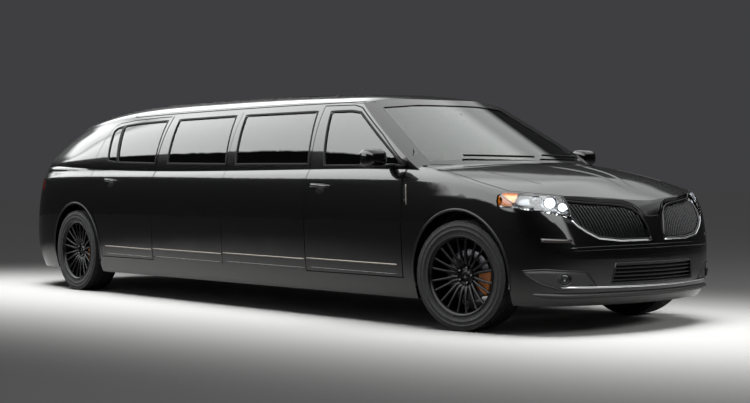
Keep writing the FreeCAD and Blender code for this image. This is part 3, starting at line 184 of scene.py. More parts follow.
# %% [markdown]
# The studio is a pale floor in a dark room, with a long soft box over the car and a smaller one in front.
# Black lacquer has no colour of its own to show, so nearly all that the eye reads on it is the shape of
# what it mirrors. The room's own colours are therefore one thing to the camera, and another to a mirror:
# there it holds a long light on the car's right, a lower panel for the front corner, a strip far behind
# the car that draws the edge of its roof, and a ceiling.

# %% The room
def placed(name, mesh, finish=None):
    """Puts a mesh into the scene as an object of the same name."""
    if finish:
        mesh.materials.append(finish)
    made = bpy.data.objects.new(name, mesh)
    scene.collection.objects.link(made)
    return made


FLOOR_HALF = 60
floor_mesh = bpy.data.meshes.new("studio_floor")
floor_corners = [(x * FLOOR_HALF, y * FLOOR_HALF, 0) for x, y in ((-1, -1), (1, -1), (1, 1), (-1, 1))]
floor_mesh.from_pydata(floor_corners, [], [(0, 1, 2, 3)])
placed("studio_floor", floor_mesh, FLOOR)

world = bpy.data.worlds.new("studio_world")
scene.world = world
world.use_nodes = True
sky = world.node_tree
sky.nodes.clear()
directions = add(sky, "ShaderNodeTexCoord").outputs["Generated"]
AHEAD, LEFT, UP = add(sky, "ShaderNodeSeparateXYZ", {"Vector": directions}).outputs[:3]


def calc(operation, *values):
    """One step of arithmetic with the parts of a direction."""
    return add(sky, "ShaderNodeMath", dict(enumerate(values)), operation=operation).outputs[0]


def ramp(value, none, full, low=0.0, high=1.0, kind="SMOOTHSTEP"):
    """Goes from low to high while a value goes from none to full."""
    return add(sky, "ShaderNodeMapRange", {"Value": value, "From Min": none, "From Max": full,
                                           "To Min": low, "To Max": high}, interpolation_type=kind).outputs[0]


def light_shape(level, *limits):
    """A light seen only in mirrors. Each limit is a value, and where the light has faded out and is full."""
    for value, none, full in limits:
        level = calc("MULTIPLY", ramp(value, none, full), level)
    return level


# The lower edge of the long light rises at an angle, away from the car. How high that edge starts sets how
# much of every window mirrors the light.
EDGE_ANGLE, EDGE_RISE = math.radians(20), -0.162
leaning = calc("MULTIPLY_ADD", LEFT, math.sin(EDGE_ANGLE), EDGE_RISE)
above_edge = calc("MULTIPLY_ADD", UP, math.cos(EDGE_ANGLE), leaning)
rising = ramp(UP, 0.30, 0.75, 5.5, 7.5, "LINEAR")
long_light = light_shape(rising, (above_edge, -0.004, 0.012), (LEFT, -0.05, -0.17))
low_panel = light_shape(6.0, (AHEAD, -0.72, -0.67), (AHEAD, -0.10, -0.20), (UP, 0.09, 0.12),
                        (LEFT, -0.10, -0.25))
roof_strip = light_shape(4.0, (AHEAD, -0.70, -0.78), (AHEAD, -0.97, -0.94), (UP, 0.26, 0.33),
                         (LEFT, -0.17, -0.05))
mirrored_room = calc("ADD", ramp(UP, 0.40, 0.46), ramp(UP, 0.52, 0.60))
for light in (long_light, roof_strip, low_panel):
    mirrored_room = calc("MAXIMUM", mirrored_room, light)


def background(colour, strength=1.0):
    return add(sky, "ShaderNodeBackground", {"Color": linear(colour), "Strength": strength}).outputs[0]


rays = add(sky, "ShaderNodeLightPath").outputs
plain, backdrop = background("#4E4E50"), background("#3F3F41")
seen = add(sky, "ShaderNodeMixShader", {0: rays["Is Camera Ray"], 1: plain, 2: backdrop}).outputs[0]
in_mirrors = background("#F4F5F5", calc("ADD", mirrored_room, 0.03))
room = add(sky, "ShaderNodeMixShader", {0: rays["Is Glossy Ray"], 1: seen, 2: in_mirrors}).outputs[0]
add(sky, "ShaderNodeOutputWorld", {"Surface": room})


# %% [markdown]
# The two soft boxes light what is matt: the floor, the tyres and the cabin. Mirrors don't see them,
# because the room's own lights already stand for them there. The one overhead is narrow and a little
# turned, so the floor is brightest along the car and falls off towards the camera.

# %% Soft boxes
def soft_light(name, place, aim, size, watts, spread=180, turned=0):
    lamp = bpy.data.lights.new(name, "AREA")
    lamp.shape, lamp.size, lamp.size_y, lamp.energy = "RECTANGLE", size[0], size[1], watts
    lamp.spread = math.radians(spread)
    made = bpy.data.objects.new(name, lamp)
    scene.collection.objects.link(made)
    aimed_down = (Vector(place) - Vector(aim)).to_track_quat("Z", "Y").to_matrix().to_4x4()
    made.matrix_world = Matrix.Translation(place) @ Matrix.Rotation(math.radians(turned), 4, "Z") @ aimed_down
    made.visible_glossy = False


soft_light("overhead_soft_box", (0.2, -0.7, 4.6), (0.2, -0.7, 0), (11.0, 2.6), 168, 62, 11)
soft_light("front_soft_box", (9.0, 3.0, 4.0), (3, 0, 0.8), (3.0, 2.0), 160)
print("lights: 2")

# %% [markdown]
# The record names a material slot for every solid, and here each slot gets its finish. Solids that a more
# detailed piece stands in for further down get theirs as well, so nothing is ever left without one.

# %% Finishes of the solid model's own parts
FINISH = {"body_paint": PAINT, "floor_paint": UNDER_COAT_AND_HOLE_SHADE, "trim_black": TRIM, "cabin_plastic": PLASTIC,
          "lamp_clear": LENS, "lamp_red": RED_LENS, "screen_glass": SCREEN, "dark_glass": PRIVACY,
          "wiper_rubber": SEAL_AND_SHADE, "cast_metal": CAST, "steel": ALUMINISED, "seat_leather": LEATHER,
          "wheel_leather": LEATHER, "rim_black": RIM_PAINT, "tyre_rubber": RUBBER}
for row in frame["record"]["subparts"]:
    materials = frame["nodes"][row["node"]].data.materials
    materials.clear()
    materials.append(FINISH[row["material_slot"]])

# %% [markdown]
# Trim has to lie on the bodywork, not near it. So each piece is drawn flat, as the maker's drawing would
# show it, and dropped onto the solid model with rays. The helpers here do the dropping and the sweeping.

# %% Helpers for shapes
def finder(*names):
    """A search tree of the named nodes' triangles, to drop trim onto."""
    places, faces = [], []
    for name in names:
        mesh, base = frame["nodes"][name].data, len(places)
        places += [v.co.copy() for v in mesh.vertices]
        faces += [[base + k for k in p.vertices] for p in mesh.polygons]
    return BVHTree.FromPolygons(places, faces)


def dropped(tree, start, way, lift=0.0):
    """Where a ray first meets the bodywork, and the way that the surface faces there."""
    way = Vector(way).normalized()
    place, normal, _, _ = tree.ray_cast(Vector(start), way)
    if place is None:
        place, normal, _, _ = tree.find_nearest(Vector(start) + way * 0.5)
    if normal.dot(way) > 0:
        normal = -normal
    return place + normal * lift, normal


def between(a, b, count):
    """Points at even steps from a to b."""
    return [tuple(p + (q - p) * k / count for p, q in zip(a, b)) for k in range(count + 1)]


def around(points, step=0.05):
    """A closed outline with points added along its sides, about a step apart."""
    result = []
    for a, b in zip(points, points[1:] + points[:1]):
        result += between(a, b, max(2, int(math.dist(a, b) / step)))[:-1]
    return result


def stands_in(made, body, node, slot):
    """Lets a piece ride on a body in the place of one of its solids, and hides that solid. The slot is not
    used.
    """
    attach(made, body)
    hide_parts(node)


def outward(made, merge=0.0):
    """Joins doubled corners and turns every face of a closed shape to the outside."""
    work = bmesh.new()
    work.from_mesh(made.data)
    if merge:
        bmesh.ops.remove_doubles(work, verts=work.verts, dist=merge)
    bmesh.ops.recalc_face_normals(work, faces=work.faces)
    work.to_mesh(made.data)
    work.free()
    return made


def piece(name, places, faces, finish, smooth=True):
    mesh = bpy.data.meshes.new(name)
    mesh.from_pydata([tuple(p) for p in places], [], faces)
    mesh.validate()
    mesh.polygons.foreach_set("use_smooth", [smooth] * len(mesh.polygons))
    return placed(name, mesh, finish)


def tube(rows, m, ring=False):
    """Faces between neighbouring rows of m points, closed by caps or, in a ring, by the first row."""
    faces = []
    for k in range(rows if ring else rows - 1):
        a, b = k * m, (k + 1) % rows * m
        faces += [(a + j, a + (j + 1) % m, b + (j + 1) % m, b + j) for j in range(m)]
    if not ring:
        faces += [tuple(range(m)), tuple(range((rows - 1) * m, rows * m))[::-1]]
    return faces


def fan(points):
    """A flat lid: the outline's own points, their middle, and a triangle to each side."""
    count = len(points)
    return points + [sum(points, Vector()) / count], [(k, (k + 1) % count, count) for k in range(count)]


def thick_sheet(faces, count):
    """The faces of a sheet, of its other side, whose points come after the first count, and of its rim."""
    walls = [(a, b) for face in faces for a, b in zip(face, tuple(face[1:]) + (face[0],))]
    known = set(walls)
    shell = [tuple(face) for face in faces] + [tuple(count + k for k in face[::-1]) for face in faces]
    return shell + [(b, a, a + count, b + count) for a, b in walls if (b, a) not in known]


def swept(name, path, section, finish, ring=False):
    """Carries a closed section of (across, outwards) pairs along a path of (place, outward) pairs."""
    places, n = [], len(path)
    for k, (place, normal) in enumerate(path):
        before = path[k - 1][0] if k or ring else place
        after = path[(k + 1) % n][0] if k < n - 1 or ring else place
        side = normal.cross((after - before).normalized()).normalized()
        places += [place + side * a + normal * b for a, b in section]
    return outward(piece(name, places, tube(n, len(section), ring), finish))


def bead(width, height, sunk=0.002, steps=6):
    """The section of a moulding: a low arch with its foot let into the panel."""
    turns = [math.pi * k / steps for k in range(steps + 1)]
    arch = [(-math.cos(t) * width / 2, math.sin(t) * height) for t in turns]
    return arch + [(width / 2, -sunk), (-width / 2, -sunk)]


def faded(path, depth, part=0.12):
    """Lets both ends of a moulding run out into the panel instead of stopping short."""
    last = len(path) - 1
    sunk = [max(0.0, 1 - min(k, last - k) / (part * last)) ** 1.5 * depth for k in range(len(path))]
    return [(p - n * d, n) for (p, n), d in zip(path, sunk)]


def lathed(name, profile, finish, steps=96, place=None, out=-1):
    """A turned ring or disc about the y axis: the profile is (radius, distance outboard)."""
    turns = [2 * math.pi * k / steps for k in range(steps)]
    places = [Vector((r * math.cos(t), out * s, r * math.sin(t))) for t in turns for r, s in profile]
    made = outward(piece(name, places, tube(steps, len(profile), ring=True), finish), 0.00001)
    if place is not None:
        made.data.transform(place)
    return made


def quarter(axis):
    return Matrix.Rotation(math.radians(90), 4, axis)


def aimed(centre, way):
    """Where a turned piece goes that looks along a direction."""
    facing = way.to_track_quat("Z", "Y").to_matrix().to_4x4()
    return Matrix.Translation(centre) @ facing @ quarter("X")


def baked(made):
    """Turns what the modifiers show into the object's own plain mesh, and removes them."""
    bpy.context.view_layer.update()
    shown = made.evaluated_get(bpy.context.evaluated_depsgraph_get())
    mesh = bpy.data.meshes.new_from_object(shown)
    made.modifiers.clear()
    made.data = mesh
    return made


def softened(made, width):
    """Rounds every edge sharper than thirty degrees."""
    bevel = made.modifiers.new("softened", "BEVEL")
    bevel.width, bevel.segments, bevel.limit_method = width, 2, "ANGLE"
    bevel.angle_limit = math.radians(30)
    return baked(made)


def from_cube(name, cuts, shaped, finish):
    """A cube two units across, cut into a fine grid whose points are then moved by a function."""
    work = bmesh.new()
    bmesh.ops.create_cube(work, size=2.0)
    bmesh.ops.subdivide_edges(work, edges=work.edges, cuts=cuts, use_grid_fill=True)
    for vertex in work.verts:
        vertex.co = shaped(vertex.co)
    mesh = bpy.data.meshes.new(name)
    work.to_mesh(mesh)
    work.free()
    mesh.polygons.foreach_set("use_smooth", [True] * len(mesh.polygons))
    return outward(placed(name, mesh, finish))


def patch(name, outline, place, tree, way, finish, spacing, lift=0.0, thick=0.003):
    """A thin sheet cut to a flat outline and dropped onto the bodywork."""
    border = []
    for a, b in zip(outline, outline[1:] + outline[:1]):
        steps = max(1, int(math.dist(a, b) / spacing))
        border += [Vector(p) for p in between(a, b, steps)[:-1]]
    low = [min(p[i] for p in border) for i in (0, 1)]
    high = [max(p[i] for p in border) for i in (0, 1)]
    columns, rows = (range(1, int((high[i] - low[i]) / spacing) + 1) for i in (0, 1))
    inner = [Vector((low[0] + spacing * i, low[1] + spacing * j)) for i in columns for j in rows]
    inner = [p for p in inner if min((p - q).length for q in border) > spacing * 0.45]
    edges = [(k, (k + 1) % len(border)) for k in range(len(border))]
    flat_places, _, faces, *_ = delaunay_2d_cdt(border + inner, edges, [], 1, 1e-6)
    drops = [dropped(tree, place(*p), way, lift) for p in flat_places]
    places = [p for p, _ in drops] + [p - n * thick for p, n in drops]
    return outward(piece(name, places, thick_sheet(faces, len(drops)), finish))


# %% [markdown]
# Things that repeat, such as spokes, wheel nuts, tread blocks and grille slats, are made by Geometry
# Nodes: one element is modelled once, and a small tree sets it out. A change of count or pitch is then
# one number. Two trees are enough here, one that turns copies about an axle, one that sweeps lines.

# %% Node trees that repeat
def new_tree(name, sizes):
    """A tree whose inputs are a mesh, some sizes with their usual values, and a finish."""
    tree = bpy.data.node_groups.new(name, "GeometryNodeTree")
    tree.interface.new_socket("Geometry", in_out="INPUT", socket_type="NodeSocketGeometry")
    for size_name, value in sizes.items():
        kind = "NodeSocketInt" if isinstance(value, int) else "NodeSocketFloat"
        tree.interface.new_socket(size_name, in_out="INPUT", socket_type=kind).default_value = value
    tree.interface.new_socket("Finish", in_out="INPUT", socket_type="NodeSocketMaterial")
    tree.interface.new_socket("Geometry", in_out="OUTPUT", socket_type="NodeSocketGeometry")
    return tree, add(tree, "NodeGroupInput"), add(tree, "NodeGroupOutput")


def ended(tree, geometry, given, result):
    """Every tree ends the same way: copies made real, then their material."""
    real = add(tree, "GeometryNodeRealizeInstances", {"Geometry": geometry})
    painted = add(tree, "GeometryNodeSetMaterial", {"Geometry": real.outputs[0],
                                                    "Material": given.outputs["Finish"]})
    tree.links.new(painted.outputs[0], result.inputs[0])
    return tree


def round_tree():
    """Copies of one element, turned about the y axis."""
    tree, given, result = new_tree("copies_about_the_axle", {"Count": 10, "First Angle": 0.0})
    count, first = given.outputs["Count"], given.outputs["First Angle"]
    points = add(tree, "GeometryNodeMeshLine", {"Count": count, "Offset": (0, 0, 0)})
    number = add(tree, "GeometryNodeInputIndex")
    share = add(tree, "ShaderNodeMath", {0: number.outputs[0], 1: count}, operation="DIVIDE")
    angle = add(tree, "ShaderNodeMath", {0: share.outputs[0], 1: 2 * math.pi, 2: first},
                operation="MULTIPLY_ADD")
    turn_by = add(tree, "ShaderNodeCombineXYZ", {"Y": angle.outputs[0]})
    copies = add(tree, "GeometryNodeInstanceOnPoints", {
        "Points": points.outputs[0], "Instance": given.outputs[0], "Rotation": turn_by.outputs[0]})
    return ended(tree, copies.outputs[0], given, result)


def slat_tree():
    """A slat with a round section, carried along every line of the mesh."""
    tree, given, result = new_tree("slats_along_lines", {"Width": 0.008})
    lines = add(tree, "GeometryNodeMeshToCurve", {"Mesh": given.outputs[0]})
    half = add(tree, "ShaderNodeMath", {0: given.outputs["Width"], 1: 0.5}, operation="MULTIPLY")
    section = add(tree, "GeometryNodeCurvePrimitiveCircle", {"Resolution": 8, "Radius": half.outputs[0]})
    slats_made = add(tree, "GeometryNodeCurveToMesh", {
        "Curve": lines.outputs[0], "Profile Curve": section.outputs[0], "Fill Caps": True})
    return ended(tree, slats_made.outputs[0], given, result)


ROUND, SLATS = round_tree(), slat_tree()


def repeated(made, tree, **values):
    """Runs a tree on an object, sets its inputs by their identifiers, and keeps the plain result."""
    step = made.modifiers.new(tree.name, "NODES")
    step.node_group = tree
    for item in tree.interface.items_tree:
        key = item.name.lower().replace(" ", "_")
        if item.in_out == "INPUT" and key in values:
            step[item.identifier] = values[key]
    return baked(made)


print("trees:", ROUND.name, SLATS.name)

# %% [markdown]
# The wheels are cast alloy, twenty inches across, with ten pairs of slim spokes that rise from the hub and
# split towards the rim. One pair is modelled as two tapering blades and turned ten times about the axle.
# The front pair is steered a little to the left, so all that belongs to it is turned about its steering axis.

# %% Where each wheel stands
WHEEL_Y, KINGPIN_Y, AXLE_HEIGHT, STEER = 0.830, 0.790, 0.369, math.radians(10.8)


def wheel_place(axle, out):
    if axle == "rear":
        return Matrix.Translation((REAR_AXLE, out * WHEEL_Y, AXLE_HEIGHT))
    kingpin = Matrix.Translation((FRONT_AXLE, out * KINGPIN_Y, AXLE_HEIGHT))
    return kingpin @ Matrix.Rotation(STEER, 4, "Z") @ Matrix.Translation((0, out * (WHEEL_Y - KINGPIN_Y), 0))


def merged(name, parts):
    """Several pieces made one object, with the place that each already has."""
    work, mesh, slots = bmesh.new(), bpy.data.meshes.new(name), []
    for part in parts:
        start = len(work.faces)
        work.from_mesh(part.data)
        work.faces.ensure_lookup_table()
        for face in work.faces[start:]:
            finish = part.data.materials[face.material_index]
            if finish not in slots:
                slots.append(finish)
            face.material_index = slots.index(finish)
        bpy.data.objects.remove(part)
    work.to_mesh(mesh)
    work.free()
    for finish in slots:
        mesh.materials.append(finish)
    return placed(name, mesh)


# %% [markdown]
# All parts of a wheel but the spokes are turned, from profiles of radius and distance outboard of the
# wheel's middle. The disc is part of the wheel, because it turns with it. Its drilled openings are not cut:
# a ring of small dark discs on its face is painted shade where they would be. Its steel is painted darker,
# as painted shade.

# %% Alloy wheels
# A spoke's stations are the radius, how far outboard its face lies, half its width, and its depth.
SPOKE = [(0.060, 0.060, 0.013, 0.030), (0.085, 0.076, 0.012, 0.030), (0.120, 0.086, 0.010, 0.027),
         (0.165, 0.094, 0.0085, 0.024), (0.210, 0.100, 0.0080, 0.022), (0.240, 0.103, 0.0085, 0.022),
         (0.2475, 0.104, 0.0105, 0.024)]
BARREL = [(0.2535, -0.116), (0.2675, -0.120), (0.2700, -0.113), (0.2600, -0.105), (0.2545, -0.094),
          (0.2380, -0.050), (0.2380, 0.030), (0.2500, 0.085), (0.2545, 0.094), (0.2600, 0.105),
          (0.2700, 0.113), (0.2695, 0.120), (0.2650, 0.122), (0.2560, 0.117), (0.2490, 0.108),
          (0.2440, 0.098), (0.2440, 0.080), (0.2320, 0.028), (0.2320, -0.052), (0.2470, -0.100)]
HUB = [(0.0001, 0.062), (0.026, 0.062), (0.031, 0.060), (0.034, 0.052), (0.050, 0.050), (0.066, 0.056),
       (0.074, 0.054), (0.078, 0.044), (0.078, 0.010), (0.0001, 0.010)]
NUT = [(0.0001, 0.072), (0.006, 0.0715), (0.0095, 0.067), (0.0105, 0.050), (0.0001, 0.050)]
DISC = [(0.060, 0.004), (0.172, 0.004), (0.174, 0.007), (0.174, 0.021), (0.172, 0.024), (0.060, 0.024)]
HOLE_SHADE = [(0.0001, 0.0245), (0.0035, 0.0245), (0.0035, 0.023), (0.0001, 0.023)]
VALVE = [(0.0001, 0.125), (0.003, 0.124), (0.004, 0.118), (0.004, 0.095), (0.0001, 0.095)]


def blade(name, lean):
    """One spoke: a tapering bar from hub to rim, hollowed towards the car and crowned outwards."""
    places = []
    for r, face, half, deep in SPOKE:
        centre = lean * (0.011 + 0.024 * ((r - 0.06) / 0.19) ** 1.2)
        ring = [(-half, -0.5 * deep), (-half, -0.004), (-0.55 * half, 0.0), (0.55 * half, 0.0),
                (half, -0.004), (half, -0.5 * deep), (0.6 * half, -deep), (-0.6 * half, -deep)]
        places += [Vector((centre + a, -(face + b), r)) for a, b in ring]
    return outward(piece(name, places, tube(len(SPOKE), len(ring)), RIM_PAINT))


def raised(height, x=0.0):
    return Matrix.Translation((x, 0, height))


def alloy_wheel(name, out):
    pair = merged(name + "_pair", [blade("left_blade", -1), blade("right_blade", 1)])
    spokes = repeated(pair, ROUND, count=10, finish=RIM_PAINT)
    barrel, hub = lathed("barrel", BARREL, RIM_PAINT, 128), lathed("hub", HUB, RIM_PAINT)
    nut = lathed("nut", NUT, SHADE_DARKENED_STEEL, 6, raised(0.0525))
    nuts = repeated(nut, ROUND, count=5, first_angle=0.3, finish=SHADE_DARKENED_STEEL)
    # The disc's steel is painted darker than bright steel: painted shade.
    disc = lathed("disc", DISC, SHADE_DARKENED_STEEL)
    # Small dark discs on the disc's face: painted shade where drilled openings would be.
    hole_shade = lathed("cooling_hole", HOLE_SHADE, UNDER_COAT_AND_HOLE_SHADE, 8, raised(0.150))
    hole_shades = repeated(hole_shade, ROUND, count=36, first_angle=0.05, finish=UNDER_COAT_AND_HOLE_SHADE)
    valve = lathed("valve", VALVE, SEAL_AND_SHADE, 10, raised(0.239, 0.02))
    made = merged(name, [spokes, barrel, hub, nuts, disc, hole_shades, valve])
    if out > 0:
        made.data.transform(Matrix.Scale(-1, 4, (0, 1, 0)))
        made.data.flip_normals()
    return made


# %% [markdown]
# A tyre is vulcanised rubber: smooth, slightly bulging walls with a few moulded rings, and a tread of
# grooves and blocks about eight millimetres deep. The casing is turned, the blocks are set round it.

# %% Tyres
PITCHES = 72
BLOCK_FACES = [(4, 5, 6, 7), (0, 1, 5, 4), (1, 2, 6, 5), (2, 3, 7, 6), (3, 0, 4, 7), (3, 2, 1, 0)]
RIBS = ((-0.119, -0.083, 0.35), (-0.072, -0.034, 0.55), (-0.023, 0.023, -0.45), (0.034, 0.072, 0.55),
        (0.083, 0.119, 0.35))
TYRE_WALL = [(0.2655, 0.111), (0.270, 0.1165), (0.276, 0.1180), (0.279, 0.1165), (0.290, 0.1205),
             (0.303, 0.1235), (0.3035, 0.1243), (0.3050, 0.1243), (0.3055, 0.1236), (0.320, 0.1240),
             (0.332, 0.1230), (0.3325, 0.1238), (0.3340, 0.1236), (0.3345, 0.1226), (0.346, 0.1205),
             (0.354, 0.1185), (0.358, 0.115), (0.3612, 0.108), (0.3625, 0.095), (0.3625, 0.0815),
             (0.3605, 0.0805), (0.3605, 0.0745), (0.3625, 0.0735), (0.3625, 0.0325), (0.3605, 0.0315),
             (0.3605, 0.0255), (0.3625, 0.0245)]


def tread_pitch():
    """The blocks of one pitch of the tread: two shoulders and three ribs, cut by slanted sipes."""
    places, faces, span = [], [], 2 * math.pi / PITCHES
    for y0, y1, slant in RIBS:
        base = len(places)
        for r, trim in ((0.3600, 0.0), (0.3688, 0.0012)):
            for y, edge in ((y0 + trim, 0), (y1 - trim, 0), (y1 - trim, 1), (y0 + trim, 1)):
                drop = 0.006 * max(0.0, (abs(y) - 0.080) / 0.039) ** 2
                angle = span * (0.10 + 0.86 * edge) + slant * span * (y - y0) / 0.04
                places.append(Vector(((r - drop) * math.sin(angle), y, (r - drop) * math.cos(angle))))
        faces += [tuple(base + k for k in face) for face in BLOCK_FACES]
    return outward(piece("tread_pitch", places, faces, RUBBER, smooth=False))


def tyre(name):
    line = TYRE_WALL + [(r, -s) for r, s in TYRE_WALL[::-1]]
    return merged(name, [lathed("casing", line, RUBBER, 144),
                         repeated(tread_pitch(), ROUND, count=PITCHES, finish=RUBBER)])


for side, out in SIDES:
    for axle in ("front", "rear"):
        wheel, rubber = alloy_wheel(f"alloy_wheel_{axle}_{side}", out), tyre(f"road_tyre_{axle}_{side}")
        for made, kind, slot in ((wheel, "rim", "rim_black"), (rubber, "tyre", "tyre_rubber")):
            made.data.transform(wheel_place(axle, out))
            stands_in(made, f"{axle}_wheel_{side}", f"{axle}_{kind}_{side}", slot)
print("wheels: 4, triangles in one tyre:", sum(len(face.vertices) - 2 for face in rubber.data.polygons))

# %% [markdown]
# The flank of the real car is one smooth sheet with a few fine lines on it: a bright strip along the
# doors and the stretched panels, rubber seals round the glass, a handle on each door and an upright
# ornament behind the front wheel. Each is a moulding, carried along the panel that it is fixed to.

# %% Mouldings along the flank
def beside(out):
    """Where rays towards one flank start, given the distance behind the front axle and the height."""
    return lambda a, z: (FRONT_AXLE - a, out * 1.6, z)


def side_path(tree, points, out):
    return [dropped(tree, beside(out)(a, z), (0, -out, 0)) for a, z in points]


def body_of(panel):
    """A door is a body of its own, and the panels between the doors belong to the car's."""
    return panel if "door" in panel else "body"


FLANK_PANELS = (("front_door_{}", 0.605, 1.646), ("stretch_panels", 1.678, 2.762),
                ("stretch_panels", 2.788, 3.838), ("rear_door_{}", 3.866, 4.655))
STRIPS = (("bright_strip", 0.418, 0.011, STAINLESS), ("sill_line", 0.352, 0.007, TRIM))
for side, out in SIDES:
    for number, (pattern, start, end) in enumerate(FLANK_PANELS):
        panel = pattern.format(side)
        tree = finder(panel)
        for kind, height, width, finish in STRIPS:
            path = side_path(tree, between((start, height), (end, height + 0.008), 14), out)
            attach(swept(f"{kind}_{side}_{number}", path, bead(width, 0.004), finish), body_of(panel))
print("flank strips: 16")

# %% [markdown]
# The seals follow the outlines of the panes. Those are given in shares of the wheelbase and of the
# gutter's height, and set out by seven millimetres for the rubber.

# %% Seals round the side glass
GUTTER = 1.580
WINDOWS = {
    "front_door_{}": [[(0.1165, 0.703), (0.2865, 0.7085), (0.3055, 0.958), (0.2600, 0.956), (0.2390, 0.946)]],
    "stretch_panels": [[(0.3265, 0.717), (0.5080, 0.723), (0.5205, 0.965), (0.3400, 0.962)],
                       [(0.5375, 0.724), (0.7050, 0.734), (0.7150, 0.964), (0.5500, 0.966)]],
    "rear_door_{}": [[(0.7460, 0.736), (0.8640, 0.746), (0.8930, 0.949), (0.8500, 0.957), (0.7530, 0.963)],
                     [(0.8710, 0.747), (0.9000, 0.757), (0.9235, 0.925), (0.9180, 0.938), (0.9000, 0.947)]],
}


def moved_out(points, by):
    """A closed outline set out by a distance, its points running round in either way."""
    middle = [sum(p[i] for p in points) / len(points) for i in (0, 1)]
    result = []
    for k, p in enumerate(points):
        normal = Vector((0, 0))
        for q, r in ((points[k - 1], p), (p, points[(k + 1) % len(points)])):
            run = Vector((r[0] - q[0], r[1] - q[1])).normalized()
            square = Vector((run.y, -run.x))
            if square.dot(Vector((q[0] - middle[0], q[1] - middle[1]))) < 0:
                square = -square
            normal += square
        normal *= 2 / normal.length_squared
        result.append((p[0] + normal.x * by, p[1] + normal.y * by))
    return result


for side, out in SIDES:
    for pattern, outlines in WINDOWS.items():
        panel = pattern.format(side)
        pane = panel.replace("door", "door_glass") if "door" in panel else "fixed_side_windows"
        tree = finder(panel, pane)
        for number, shares in enumerate(outlines):
            outline = moved_out([(a * WHEELBASE, b * GUTTER) for a, b in shares], 0.007)
            path, section = side_path(tree, around(outline), out), bead(0.020, 0.003)
            name = f"glass_seal_{panel}_{side}_{number}"
            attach(swept(name, path, section, SEAL_AND_SHADE, ring=True), body_of(panel))
print("glass seals: 10")

# %% [markdown]
# A door handle is a die-cast grip in front of a finger cup. The cup is a flat dark patch on the panel,
# painted shade for a shallow finger recess. The grip stands off the panel on two feet, and a thin line
# along its upper edge catches the light.

# %% Door handles
GRIP = [(-0.0125, -0.004), (-0.0135, 0.003), (-0.008, 0.0075), (0.006, 0.008), (0.0125, 0.004),
        (0.012, -0.004), (0.0, -0.006)]


def handle(kind, side, out, start, end, height):
    name, door = f"{kind}_handle_{side}", f"{kind}_door_{side}"
    tree = finder(door)
    turns = [2 * math.pi * k / 24 for k in range(24)]
    cup_shade_outline = [((start + end) / 2 + 0.055 * math.cos(t), height - 0.030 + 0.022 * math.sin(t)) for t in turns]
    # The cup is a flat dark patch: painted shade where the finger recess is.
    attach(patch(name + "_cup", cup_shade_outline, beside(out), tree, (0, -out, 0), SEAL_AND_SHADE, 0.015, 0.0012, 0.002), door)
    arch = [0.004 + 0.030 * math.sin(math.pi * k / 12) ** 0.5 for k in range(13)]
    base = side_path(tree, between((start, height), (end, height + 0.008), 12), out)
    path = [(p + n * lift, n) for (p, n), lift in zip(base, arch)]
    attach(swept(name + "_grip", path, GRIP, PAINT), door)
    high = [(p + Vector((0, 0, 0.0125)) + n * 0.003, n) for p, n in path[1:-1]]
    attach(swept(name + "_upper_line", high, bead(0.006, 0.0045), PAINT), door)


for side, out in SIDES:
    handle("front", side, out, 1.350, 1.590, 0.958)
    handle("rear", side, out, 4.440, 4.660, 1.005)
print("handles: 4")

# %% [markdown]
# Between the front wheel and the front door stands a slim satin moulding, with three short bars across.
# It leans back a little, as the door's edge does.

# %% The upright ornament behind the front wheel
fender_tree = finder("front_fenders")
for side, out in SIDES:
    name = f"fender_ornament_{side}"
    path = side_path(fender_tree, between((0.492, 0.835), (0.508, 0.975), 12), out)
    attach(swept(name, path, bead(0.009, 0.005), STAINLESS), "body")
    for k in range(3):
        back_by, height = 0.0035 * k, 0.868 + 0.036 * k
        bar = side_path(fender_tree, between((0.482 + back_by, height), (0.515 + back_by, height), 3), out)
        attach(swept(f"{name}_bar_{k}", bar, bead(0.006, 0.007), TRIM), "body")
print("ornaments: 2")

# %% [markdown]
# The front is where most of the bright parts are. The lamp is a clear polycarbonate cover over a deep
# housing: an amber reflector at the corner, chromed cells, and a projector, which is a glass ball lens in
# a bright ring. The cover is cut along the lamp's outline and dropped onto the nose.

# %% Headlamps
LAMP = [(-0.403, 0.862), (-0.392, 0.826), (-0.262, 0.817), (-0.083, 0.790), (0.022, 0.768), (0.079, 0.741),
        (0.046, 0.845), (0.010, 0.893), (-0.187, 0.915), (-0.346, 0.920), (-0.395, 0.905)]
AMBER_PART = [(-0.392, 0.862), (-0.382, 0.834), (-0.300, 0.828), (-0.262, 0.905), (-0.346, 0.912),
              (-0.387, 0.899)]
CLEAR_PART = [(-0.290, 0.828), (-0.083, 0.798), (0.022, 0.777), (0.068, 0.754), (0.038, 0.843),
              (0.003, 0.886), (-0.187, 0.907), (-0.252, 0.906)]
HOUSING, HOUSING_DEPTH = moved_out(LAMP, -0.003), 0.060
LAMP_LAYERS = (("housing", HOUSING, TRIM, HOUSING_DEPTH), ("amber_reflector", AMBER_PART, AMBER, 0.014),
               ("bright_reflector", CLEAR_PART, REFLECTOR, 0.040))
PROJECTORS = ((-0.060, 0.850, 0.034, LIT), (0.018, 0.822, 0.026, LIT), (-0.150, 0.864, 0.030, REFLECTOR))


def corner_view(out):
    """The way that a front corner's lamps look, and where rays towards it start: across, and up."""
    along, away = Vector((1, -out, 0)).normalized(), Vector((1, out, 0)).normalized()
    return away, lambda s, z: Vector((FRONT_AXLE, 0, z)) + along * s + away * 1.8


